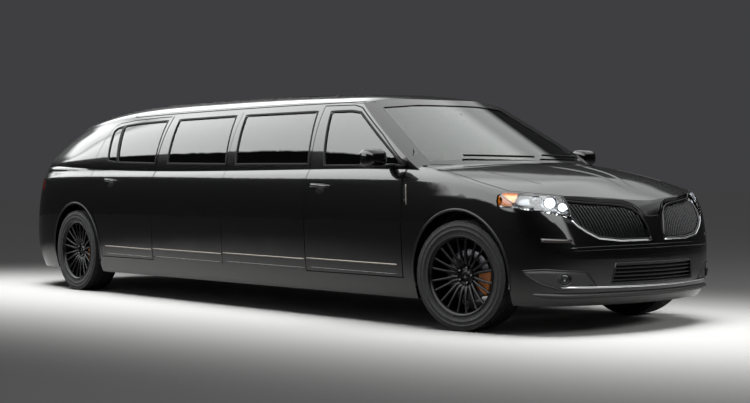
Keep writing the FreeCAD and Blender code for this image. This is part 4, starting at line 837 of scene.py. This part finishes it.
lamp_tree = finder("headlamps")
for side, out in SIDES:
    away, place = corner_view(out)
    glass = moved_out(LAMP, -0.001)
    cover = patch(f"lamp_cover_{side}", glass, place, lamp_tree, -away, LENS, 0.022, 0.0008, 0.0025)
    stands_in(cover, "body", "headlamps", "lamp_clear")
    for kind, outline, finish, depth in LAMP_LAYERS:
        made = patch(f"lamp_{kind}_{side}", outline, place, lamp_tree, -away, finish, 0.03)
        made.data.transform(Matrix.Translation(-away * depth))
        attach(made, "body")
    rim = [dropped(lamp_tree, place(s, z), -away)[0] for s, z in around(HOUSING, 0.03)]
    wall = [p - away * 0.003 for p in rim] + [p - away * HOUSING_DEPTH for p in rim]
    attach(piece(f"lamp_wall_{side}", wall, tube(2, len(rim))[:-2], TRIM), "body")
    for number, (s, z, radius, finish) in enumerate(PROJECTORS):
        centre = dropped(lamp_tree, place(s, z), -away)[0] - away * 0.026
        ball = [(0.0001, 0.016), (radius * 0.5, 0.0125), (radius * 0.82, 0.005), (radius, -0.006),
                (radius, -0.014), (0.0001, -0.014)]
        ring = [(radius, 0.004), (radius * 1.10, 0.009), (radius * 1.24, 0.006), (radius * 1.42, -0.018),
                (radius * 1.38, -0.020), (radius, -0.010)]
        for kind, line, coat in (("projector", ball, finish), ("projector_ring", ring, REFLECTOR)):
            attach(lathed(f"{kind}_{side}_{number}", line, coat, 48, aimed(centre, away), 1), "body")
    edge = [dropped(lamp_tree, place(s, z), -away)[0] for s, z in between((-0.26, 0.820), (0.050, 0.765), 14)]
    low_edge = [(p - away * 0.012 + Vector((0, 0, 0.010)), away) for p in edge]
    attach(swept(f"lamp_lower_edge_{side}", low_edge, bead(0.007, 0.004), TRIM), "body")
print("lamps: 2")

# %% [markdown]
# The grille is a pair of wings, each filled with slim upright slats that lean outwards at the top. The
# nose behind them is a smooth surface, so a simple polynomial is fitted to it once, and every slat is a
# line on that surface. The node tree then gives the lines their thickness.

# %% The surface of the nose
def nose_surface():
    tree, samples = finder("front_bumper", "hood"), []
    for y in np.linspace(-0.72, 0.72, 61):
        for z in np.linspace(0.25, 0.93, 35):
            place, normal, _, _ = tree.ray_cast(Vector((5, y, z)), Vector((-1, 0, 0)))
            if place is not None and place.x > 3.35 and normal.x > 0.25:
                samples.append((y * y, z, place.x))
    data = np.array(samples)

    def terms(y2, z):
        return np.stack([y2 ** a * z ** b for a in range(4) for b in range(5)], -1)

    def fitted(rows):
        known = terms(rows[:, 0], rows[:, 1])
        best = np.linalg.lstsq(known, rows[:, 2], rcond=None)[0]
        return best, np.abs(known @ best - rows[:, 2])

    best, miss = fitted(data)
    for _ in range(3):
        data = data[miss < max(0.006, np.quantile(miss, 0.9))]
        best, miss = fitted(data)
    print("nose samples:", len(data), "largest miss in mm:", round(1000 * float(miss.max()), 1))
    return lambda y, z: float(terms(np.array(y * y), np.array(z)) @ best)


nose_x = nose_surface()


def on_nose(y, z, lift=0.0):
    step = 0.004
    slope_y = (nose_x(y + step, z) - nose_x(y - step, z)) / (2 * step)
    slope_z = (nose_x(y, z + step) - nose_x(y, z - step)) / (2 * step)
    normal = Vector((1, -slope_y, -slope_z)).normalized()
    return Vector((nose_x(y, z), y, z)) + normal * lift, normal


# %% [markdown]
# Each slat is drawn from below the wing to above it, and keeps the part that lies inside. A thinner line
# of smoked metal lies in front of it, where a real slat's edge catches the light.

# %% Grille wings
WING = [(0.064, 0.612), (0.323, 0.613), (0.481, 0.632), (0.552, 0.671), (0.609, 0.714), (0.632, 0.760),
        (0.632, 0.868), (0.560, 0.858), (0.416, 0.846), (0.300, 0.838), (0.218, 0.828), (0.160, 0.808),
        (0.118, 0.770), (0.086, 0.700)]
UNDERLINE = [(0.066, 0.604), (0.323, 0.604), (0.484, 0.622), (0.558, 0.662), (0.616, 0.706), (0.640, 0.738)]
SLATS_A_SIDE, FIRST_SLAT, SLAT_PITCH, SLAT_LEAN = 28, 0.050, 0.0235, 0.22


def inside(point, outline):
    """Counts how often a line from the point crosses the outline: an odd count is inside."""
    crossed = False
    for a, b in zip(outline, outline[1:] + outline[:1]):
        if (a[1] > point[1]) != (b[1] > point[1]):
            if point[0] < (b[0] - a[0]) * (point[1] - a[1]) / (b[1] - a[1]) + a[0]:
                crossed = not crossed
    return crossed


def slats(name, lines, width, finish):
    places, edges = [], []
    for line in lines:
        edges += [(len(places) + k, len(places) + k + 1) for k in range(len(line) - 1)]
        places += line
    mesh = bpy.data.meshes.new(name)
    mesh.from_pydata([tuple(p) for p in places], edges, [])
    return outward(repeated(placed(name, mesh), SLATS, width=width, finish=finish))


opening = moved_out(WING, -0.010)
for side, out in SIDES:
    lines, edge_lines = [], []
    for k in range(SLATS_A_SIDE):
        foot = FIRST_SLAT + SLAT_PITCH * k
        line = [(foot + SLAT_LEAN * (z - 0.60), z) for z in np.linspace(0.60, 0.90, 61)]
        line = [p for p in line if inside(p, opening)]
        if len(line) > 4:
            picked = line[::4] + [line[-1]]
            lines.append([on_nose(out * y, z, -0.012)[0] for y, z in picked])
            edge_lines.append([on_nose(out * y, z, -0.0045)[0] for y, z in picked])
    stands_in(slats(f"grille_slats_{side}", lines, 0.0105, GRILLE), "body", "grilles", "trim_black")
    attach(slats(f"grille_slat_edges_{side}", edge_lines, 0.0028, EDGE), "body")
    border = around([(out * y, z) for y, z in WING], 0.03)
    path, section = [on_nose(y, z, -0.004) for y, z in border], bead(0.016, 0.010, 0.012)
    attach(swept(f"grille_frame_{side}", path, section, GRILLE, ring=True), "body")
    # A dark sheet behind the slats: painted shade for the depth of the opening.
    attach(piece(f"grille_back_{side}", *fan([on_nose(y, z, -0.035)[0] for y, z in border]), SEAL_AND_SHADE), "body")
    line = [p for a, b in zip(UNDERLINE, UNDERLINE[1:]) for p in between(a, b, 6)[:-1]] + UNDERLINE[-1:]
    path = [on_nose(out * y, z) for y, z in line]
    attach(swept(f"grille_chrome_line_{side}", path, bead(0.012, 0.006), CHROME), "body")
print("slats in one wing:", len(lines))

# %% [markdown]
# Below the grille the bumper has a wide intake with level slats. Under that a chrome lip follows the
# rounded nose, and a black chin closes the gap towards the road. Both run out into the panel at their ends.

# %% Lower intake, chrome lip and chin
INTAKE = [(-0.400, 0.332), (0.400, 0.332), (0.375, 0.458), (-0.375, 0.458)]
LEVELS = [0.350, 0.376, 0.402, 0.428, 0.450]
CHIN = [(-0.018, -0.004), (-0.014, 0.010), (0.004, 0.022), (0.016, 0.020), (0.018, -0.004)]
lines, edge_lines = [], []
for z in LEVELS:
    half = 0.40 - 0.2 * (z - 0.332)
    lines.append([on_nose(y, z, -0.012)[0] for y in np.linspace(-half, half, 33)])
    edge_lines.append([on_nose(y, z + 0.003, -0.006)[0] for y in np.linspace(-0.39, 0.39, 33)])
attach(slats("intake_slats", lines, 0.012, GRILLE), "body")
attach(slats("intake_slat_edges", edge_lines, 0.0030, EDGE), "body")
border = around(INTAKE, 0.03)
path, section = [on_nose(y, z, -0.003) for y, z in border], bead(0.014, 0.008, 0.012)
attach(swept("intake_frame", path, section, GRILLE, ring=True), "body")
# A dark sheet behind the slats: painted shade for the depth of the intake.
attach(piece("intake_back", *fan([on_nose(y, z, -0.045)[0] for y, z in border]), SEAL_AND_SHADE), "body")
bumper_tree = finder("front_bumper")


def on_bumper(y, z):
    """A ray towards the middle of the car, square to the rounded corner."""
    angle = math.radians(62) * max(-1.0, min(1.0, y / 0.80))
    way = Vector((-math.cos(angle), -math.sin(angle), 0))
    x = 3.70 - 0.30 * (abs(y) / 0.80) ** 2.6
    return dropped(bumper_tree, Vector((x, y, z)) - way * 0.6, way)


lip = [on_bumper(y, 0.306 + 0.012 * (abs(y) / 0.79) ** 2) for y in np.linspace(-0.72, 0.72, 65)]
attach(swept("chrome_lip", faded(lip, 0.009), bead(0.015, 0.007), CHROME), "body")
chin = [on_bumper(y, 0.258) for y in np.linspace(-0.84, 0.84, 65)]
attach(swept("chin_spoiler", faded(chin, 0.026), CHIN, PLASTIC), "body")
print("intake slats:", len(LEVELS))

# %% [markdown]
# Below the lamps each front corner has a side reflector and a fog lamp in a dark pocket. Fine creases run
# across the bumper and up the hood: they are pressed into the sheet, and show as thin lines of light.

# %% Fog lamps, side reflectors and creases
POCKET = [(-0.240, 0.419), (-0.189, 0.376), (-0.126, 0.338), (0.0, 0.300), (0.235, 0.319), (0.170, 0.412),
          (-0.094, 0.428)]
MARKER = [(-0.118, 0.604), (0.078, 0.600), (0.078, 0.622), (-0.118, 0.628)]
FOG_RING = [(0.036, -0.004), (0.037, 0.006), (0.041, 0.009), (0.045, 0.006), (0.046, -0.004)]
FOG_LENS = [(0.0001, 0.007), (0.020, 0.006), (0.036, 0.003), (0.036, -0.004), (0.0001, -0.004)]
# A hood crease runs from one x back to another, starts at a distance from the middle and spreads from it.
HOOD_CREASES = (("hood_crease", 3.58, 2.83, 0.030, 0.15, 1.4, 0.007, bead(0.030, 0.0045)),
                ("hood_side_crease", 3.42, 2.62, 0.60, 0.10, 1.0, 0.006, bead(0.024, 0.002)))
for side, out in SIDES:
    away, place = corner_view(out)
    for kind, outline, finish in (("fog_pocket", POCKET, PLASTIC), ("side_reflector", MARKER, AMBER_DARK)):
        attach(patch(f"{kind}_{side}", outline, place, bumper_tree, -away, finish, 0.025, 0.0012), "body")
    edge_line = [dropped(bumper_tree, place(s, z), -away) for s, z in around(POCKET, 0.03)]
    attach(swept(f"fog_pocket_edge_{side}", edge_line, bead(0.012, 0.004), GRILLE, ring=True), "body")
    centre, _ = dropped(bumper_tree, place(0.030, 0.366), -away)
    for kind, line, finish in (("fog_ring", FOG_RING, TRIM), ("fog_lens", FOG_LENS, SMOKED)):
        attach(lathed(f"{kind}_{side}", line, finish, 48, aimed(centre, away), 1), "body")
crease = [on_bumper(y, 0.565 - 0.012 * (abs(y) / 0.76) ** 2) for y in np.linspace(-0.76, 0.76, 61)]
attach(swept("bumper_crease", faded(crease, 0.007), bead(0.026, 0.0014), PAINT), "body")
hood_tree = finder("hood")
for side, out in SIDES:
    for kind, start, end, inner, spread, power, depth, section in HOOD_CREASES:
        run = [(x, out * (inner + spread * ((start - x) / 0.75) ** power))
               for x in np.linspace(start, end, 25)]
        line = [dropped(hood_tree, (x, y, 2.0), (0, 0, -1)) for x, y in run]
        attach(swept(f"{kind}_{side}", faded(line, depth, 0.3), section, PAINT), "hood")
print("fog lamps: 2, creases: 5")

# %% [markdown]
# The wheel openings have a rolled lip, the roof a drip rail, and both catch a thin line of light. Behind
# each front spoke an orange brake caliper grips its disc: a cast bridge with a pad housing on both sides.

# %% Arch lips, drip rails and brake calipers
ARCH_RADIUS = 0.438
ARCHES = (("front", 0.0, ("front_fenders", "front_bumper", "body_sides", "stretch_panels")),
          ("rear", WHEELBASE, ("body_sides", "rear_bumper", "stretch_panels")))
BRIDGE = [(0.106, -0.0305), (0.2055, -0.0305), (0.2055, 0.0565), (0.106, 0.0565), (0.106, 0.0325),
          (0.1825, 0.0325), (0.1825, -0.0055), (0.106, -0.0055)]
roof_tree = finder("roof_frame")
for side, out in SIDES:
    for axle, x, nodes in ARCHES:
        turns = np.linspace(-0.30, math.pi + 0.30, 49)
        arch = [(x + ARCH_RADIUS * math.cos(t), AXLE_HEIGHT + ARCH_RADIUS * math.sin(t)) for t in turns]
        path = side_path(finder(*nodes), arch, out)
        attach(swept(f"arch_lip_{axle}_{side}", path, bead(0.018, 0.003), GRILLE), "body")
    rail = [(a, 1.590 - 0.010 * ((a - 2.8) / 1.9) ** 2) for a in np.linspace(1.25, 4.55, 45)]
    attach(swept(f"drip_rail_{side}", side_path(roof_tree, rail, out), bead(0.012, 0.005), PAINT), "body")


def caliper(axle, side, out, body):
    turns = [math.radians(-39.5 + 49 * k / 16) for k in range(17)]
    places = [Vector((r * math.cos(t), out * s, r * math.sin(t))) for t in turns for r, s in BRIDGE]
    faces = tube(len(turns), len(BRIDGE))
    cast = outward(piece(f"brake_caliper_{axle}_{side}", places, faces, CALIPER, smooth=False))
    made = softened(cast, 0.004)
    made.data.transform(wheel_place(axle, out))
    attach(made, body)


for side, out in SIDES:
    caliper("front", side, out, f"knuckle_{side}")
    caliper("rear", side, out, "body")
print("calipers: 4")

# %% [markdown]
# Seats are foam under stretched leather, so no face of a cushion is flat: it is crowned in the middle,
# drawn in along stitched channels, and closed by a round piping at its edge. One function makes a cushion
# of any size from a rounded block, and each seat is then a cushion, a back and a headrest on a hard base.

# %% Seats
CROWN, STITCH_DEPTH, STITCH_WIDTH, FILL = 0.16, 0.07, 0.022, 0.85
BOX_FACES = [(0, 1, 3, 2), (4, 6, 7, 5), (0, 4, 5, 1), (2, 3, 7, 6), (0, 2, 6, 4), (1, 5, 7, 3)]
POST = [(0.0001, 0.0), (0.006, 0.0), (0.006, 0.11), (0.0001, 0.11)]


def cushion(name, middle, half, up, channels, node):
    """A padded block. up is the axis that it is crowned along, 0 for x and 2 for z."""
    sides = [axis for axis in (0, 1, 2) if axis != up]

    def shaped(p):
        scale = sum(abs(v) ** 7 for v in p) ** (1 / 7)
        q = [v / scale for v in p]
        crown = (1 - p[sides[0]] ** 2) * (1 - p[sides[1]] ** 2)
        drawn = sum(math.exp(-((p[1] - c) / STITCH_WIDTH) ** 2) for c in channels) * (1 - p[sides[0]] ** 4)
        q[up] *= 1 + CROWN * crown - STITCH_DEPTH * drawn
        return Vector([middle[axis] + half[axis] * q[axis] for axis in range(3)])

    made = from_cube(name, 23, shaped, LEATHER)
    stands_in(made, "body", node, "seat_leather")
    edge = []
    for k in range(64):
        angle = 2 * math.pi * k / 64
        reach = max(abs(math.cos(angle)), abs(math.sin(angle)))
        p = [0.72, 0.72, 0.72]
        p[sides[0]], p[sides[1]] = math.cos(angle) / reach, math.sin(angle) / reach
        place = shaped(p)
        from_middle = [place[axis] - middle[axis] if axis in sides else 0.0 for axis in range(3)]
        edge.append((place, Vector(from_middle).normalized()))
    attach(swept(name + "_piping", edge, bead(0.007, 0.004, 0.002, 4), LEATHER, ring=True), "body")


def seat(name, x, y, width, node):
    cushion(name + "_cushion", (x - 0.262, y, 0.525), (0.258, width / 2, 0.072), 2, (-0.42, 0.42), node)
    cushion(name + "_back", (x - 0.592, y, 0.815), (0.068, width / 2, 0.255), 0, (-0.42, 0.42), node)
    cushion(name + "_headrest", (x - 0.588, y, 1.155), (0.045, 0.125, 0.075), 0, (), node)
    box = [(x - a, y + b * width * 0.46, z) for a in (0.02, 0.60) for b in (-1, 1) for z in (0.284, 0.462)]
    base = outward(piece(name + "_base", box, BOX_FACES, PLASTIC, smooth=False))
    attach(softened(base, 0.015), "body")
    for hand, b in (("right", -0.06), ("left", 0.06)):
        place = Matrix.Translation((x - 0.590, y + b, 1.03)) @ quarter("X")
        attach(lathed(f"{name}_post_{hand}", POST, SHADE_DARKENED_STEEL, 16, place, 1), "body")


for side, out in SIDES:
    seat(f"front_seat_{side}", FRONT_AXLE - 1.180, out * 0.390, 0.520, "front_seats")
for number, y in enumerate((-0.5, 0.0, 0.5)):
    seat(f"lounge_seat_{number}", FRONT_AXLE - 4.050, y, 0.490, "lounge_seats")
print("padded pieces: 15")

# %% [markdown]
# The rest of the cabin is seen only through glass: a moulded dashboard with a hood over the dials, a dark
# screen in its middle, a mirror at the top of the windscreen, carpet on the floor and a cloth roof lining.

# %% Dashboard, carpet and roof lining
DASHBOARD = [(2.355, 0.725), (2.355, 0.995), (2.250, 1.015), (2.090, 1.012), (2.000, 0.990),
             (1.955, 0.945), (1.975, 0.900), (1.990, 0.845), (1.960, 0.805), (1.968, 0.725)]
DIAL_HOOD = [(2.080, 1.000), (2.080, 1.040), (1.990, 1.045), (1.975, 1.030), (1.990, 0.985)]
DIAL_SCREEN = [(1.958, 0.860), (1.950, 0.862), (1.968, 0.990), (1.978, 0.988)]
INNER_MIRROR = [(1.770, 1.430), (1.755, 1.432), (1.762, 1.490), (1.778, 1.488)]
STALK = [(1.770, 1.462), (1.772, 1.478), (1.842, 1.492), (1.846, 1.480)]
CARPET_LINE = [(-2.05, 0.2765), (-2.05, 0.284), (2.30, 0.284), (2.30, 0.2765)]


def extruded(name, section, y0, y1, finish, narrowed=0.0, steps=14):
    """A section of (x, z) points carried across the car, drawn in a little towards its ends."""
    places, middle = [], sum(x for x, _ in section) / len(section)
    for k in range(steps + 1):
        shrink = 1 - narrowed * (2 * k / steps - 1) ** 4
        places += [(middle + (x - middle) * shrink, y0 + (y1 - y0) * k / steps, z) for x, z in section]
    made = softened(outward(piece(name, places, tube(steps + 1, len(section)), finish)), 0.006)
    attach(made, "body")
    return made


dash = extruded("moulded_dashboard", DASHBOARD, -0.775, 0.775, PLASTIC, 0.08)
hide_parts("dashboard")
extruded("dial_hood", DIAL_HOOD, 0.240, 0.540, PLASTIC, 0.3)
extruded("dashboard_screen", DIAL_SCREEN, -0.150, 0.150, TRIM)
extruded("inner_mirror", INNER_MIRROR, -0.115, 0.115, TRIM, 0.1)
extruded("inner_mirror_stalk", STALK, -0.010, 0.010, PLASTIC)
extruded("cabin_carpet", CARPET_LINE, -0.790, 0.790, CARPET)
ALONG, ACROSS = 28, 11
lower = [dropped(roof_tree, (x, y, 1.0), (0, 0, 1), 0.004)[0]
         for x in np.linspace(1.15, -2.20, ALONG) for y in np.linspace(-0.50, 0.50, ACROSS)]
corners = [i * ACROSS + j for i in range(ALONG - 1) for j in range(ACROSS - 1)]
faces = thick_sheet([(k, k + 1, k + 1 + ACROSS, k + ACROSS) for k in corners], len(lower))
upper = [p + Vector((0, 0, 0.003)) for p in lower]
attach(outward(piece("roof_lining", lower + upper, faces, LINING)), "body")
print("cabin pieces: 7")

# %% [markdown]
# The door mirrors are painted shells, blunt at the back, where the silvered glass sits, and drawn in at
# the front. Each stands on a black foot in front of the side window and swings out with its door.

# %% Door mirrors
MIRROR_PARTS = (("glass", (2.0525, 1.066, 1.158), (0.003, 0.083, 0.052), 5.0, SILVER),
                ("foot", (2.098, 0.945, 1.100), (0.034, 0.085, 0.020), 4.0, TRIM),
                ("base", (2.104, 1.052, 1.096), (0.046, 0.070, 0.014), 4.0, TRIM))


def rounded_block(name, middle, half, power, finish, narrowed=0.0):
    """A block whose corners are the rounder the lower the power, drawn in towards its front."""
    def shaped(p):
        scale = sum(abs(v) ** power for v in p) ** (1 / power)
        drawn = 1 - narrowed * (0.5 + 0.5 * p[0]) ** 1.6
        return Vector((middle[0] + half[0] * p[0] / scale, middle[1] + half[1] * p[1] / scale * drawn,
                       middle[2] + half[2] * p[2] / scale * drawn))
    return from_cube(name, 15, shaped, finish)


for side, out in SIDES:
    middle, half = (2.108, out * 1.068, 1.158), (0.060, 0.104, 0.070)
    shell = rounded_block(f"mirror_shell_{side}", middle, half, 3.4, PAINT, 0.22)
    stands_in(shell, f"front_door_{side}", f"mirror_{side}", "body_paint")
    for kind, (x, y, z), half, power, finish in MIRROR_PARTS:
        made = rounded_block(f"mirror_{kind}_{side}", (x, out * y, z), half, power, finish)
        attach(made, f"front_door_{side}")
print("mirrors: 2")

# %% [markdown]
# The tail is hidden in the photograph's view, so it follows the usual practice: red lamps that wrap the
# corners, a chrome bar above a blank plate, two reflectors low in the bumper, and two exhaust tips.

# %% The tail
gate_tree, tail_tree = finder("liftgate"), finder("rear_bumper")
FORWARD, OVAL = Vector((1, 0, 0)), Matrix.Scale(1.35, 4, (1, 0, 0))
SKIRT = [(-0.050, -0.004), (-0.046, 0.006), (0.046, 0.006), (0.050, -0.004)]
TIP = [(0.034, -0.060), (0.034, 0.012), (0.036, 0.016), (0.040, 0.016), (0.042, 0.012), (0.042, -0.060)]
SHADE = [(0.0001, -0.001), (0.034, -0.001), (0.034, -0.004), (0.0001, -0.004)]
TAIL_LINES = (("gate_chrome_bar", gate_tree, 0.46, 0.872, 33, bead(0.026, 0.012), CHROME, "liftgate"),
              ("rear_bumper_crease", tail_tree, 0.62, 0.500, 41, bead(0.030, 0.006), PAINT, "body"),
              ("rear_skirt", tail_tree, 0.60, 0.290, 41, SKIRT, PLASTIC, "body"))


def behind(y, z):
    return Vector((-4.8, y, z))


def rectangle(y0, y1, z0, z1):
    return [(y0, z0), (y1, z0), (y1, z1), (y0, z1)]


for name, outline, finish, lift, thick in (
        ("number_plate_blank", rectangle(-0.26, 0.26, 0.720, 0.832), PLATE, 0.003, 0.004),
        ("plate_recess", rectangle(-0.31, 0.31, 0.700, 0.850), TRIM, 0.0008, 0.002)):
    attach(patch(name, outline, behind, gate_tree, FORWARD, finish, 0.04, lift, thick), "liftgate")
for name, tree, half, height, count, section, finish, body in TAIL_LINES:
    line = [dropped(tree, behind(y, height), FORWARD) for y in np.linspace(-half, half, count)]
    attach(swept(name, line, section, finish), body)
for side, out in SIDES:
    spot = rectangle(*sorted((out * 0.56, out * 0.68)), 0.395, 0.425)
    made = patch(f"rear_reflector_{side}", spot, behind, tail_tree, FORWARD, RED_LENS, 0.03, 0.0012)
    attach(made, "body")
    mouth = Matrix.Translation(dropped(tail_tree, behind(out * 0.46, 0.290), FORWARD)[0]) @ quarter("Z")
    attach(lathed(f"exhaust_tip_{side}", TIP, CHROME, 48, mouth @ OVAL, 1), "body")
    inward = mouth @ Matrix.Translation((0, 0.004, 0)) @ OVAL
    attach(lathed(f"exhaust_shade_{side}", SHADE, SEAL_AND_SHADE, 32, inward, 1), "body")
print("tail pieces: 11")
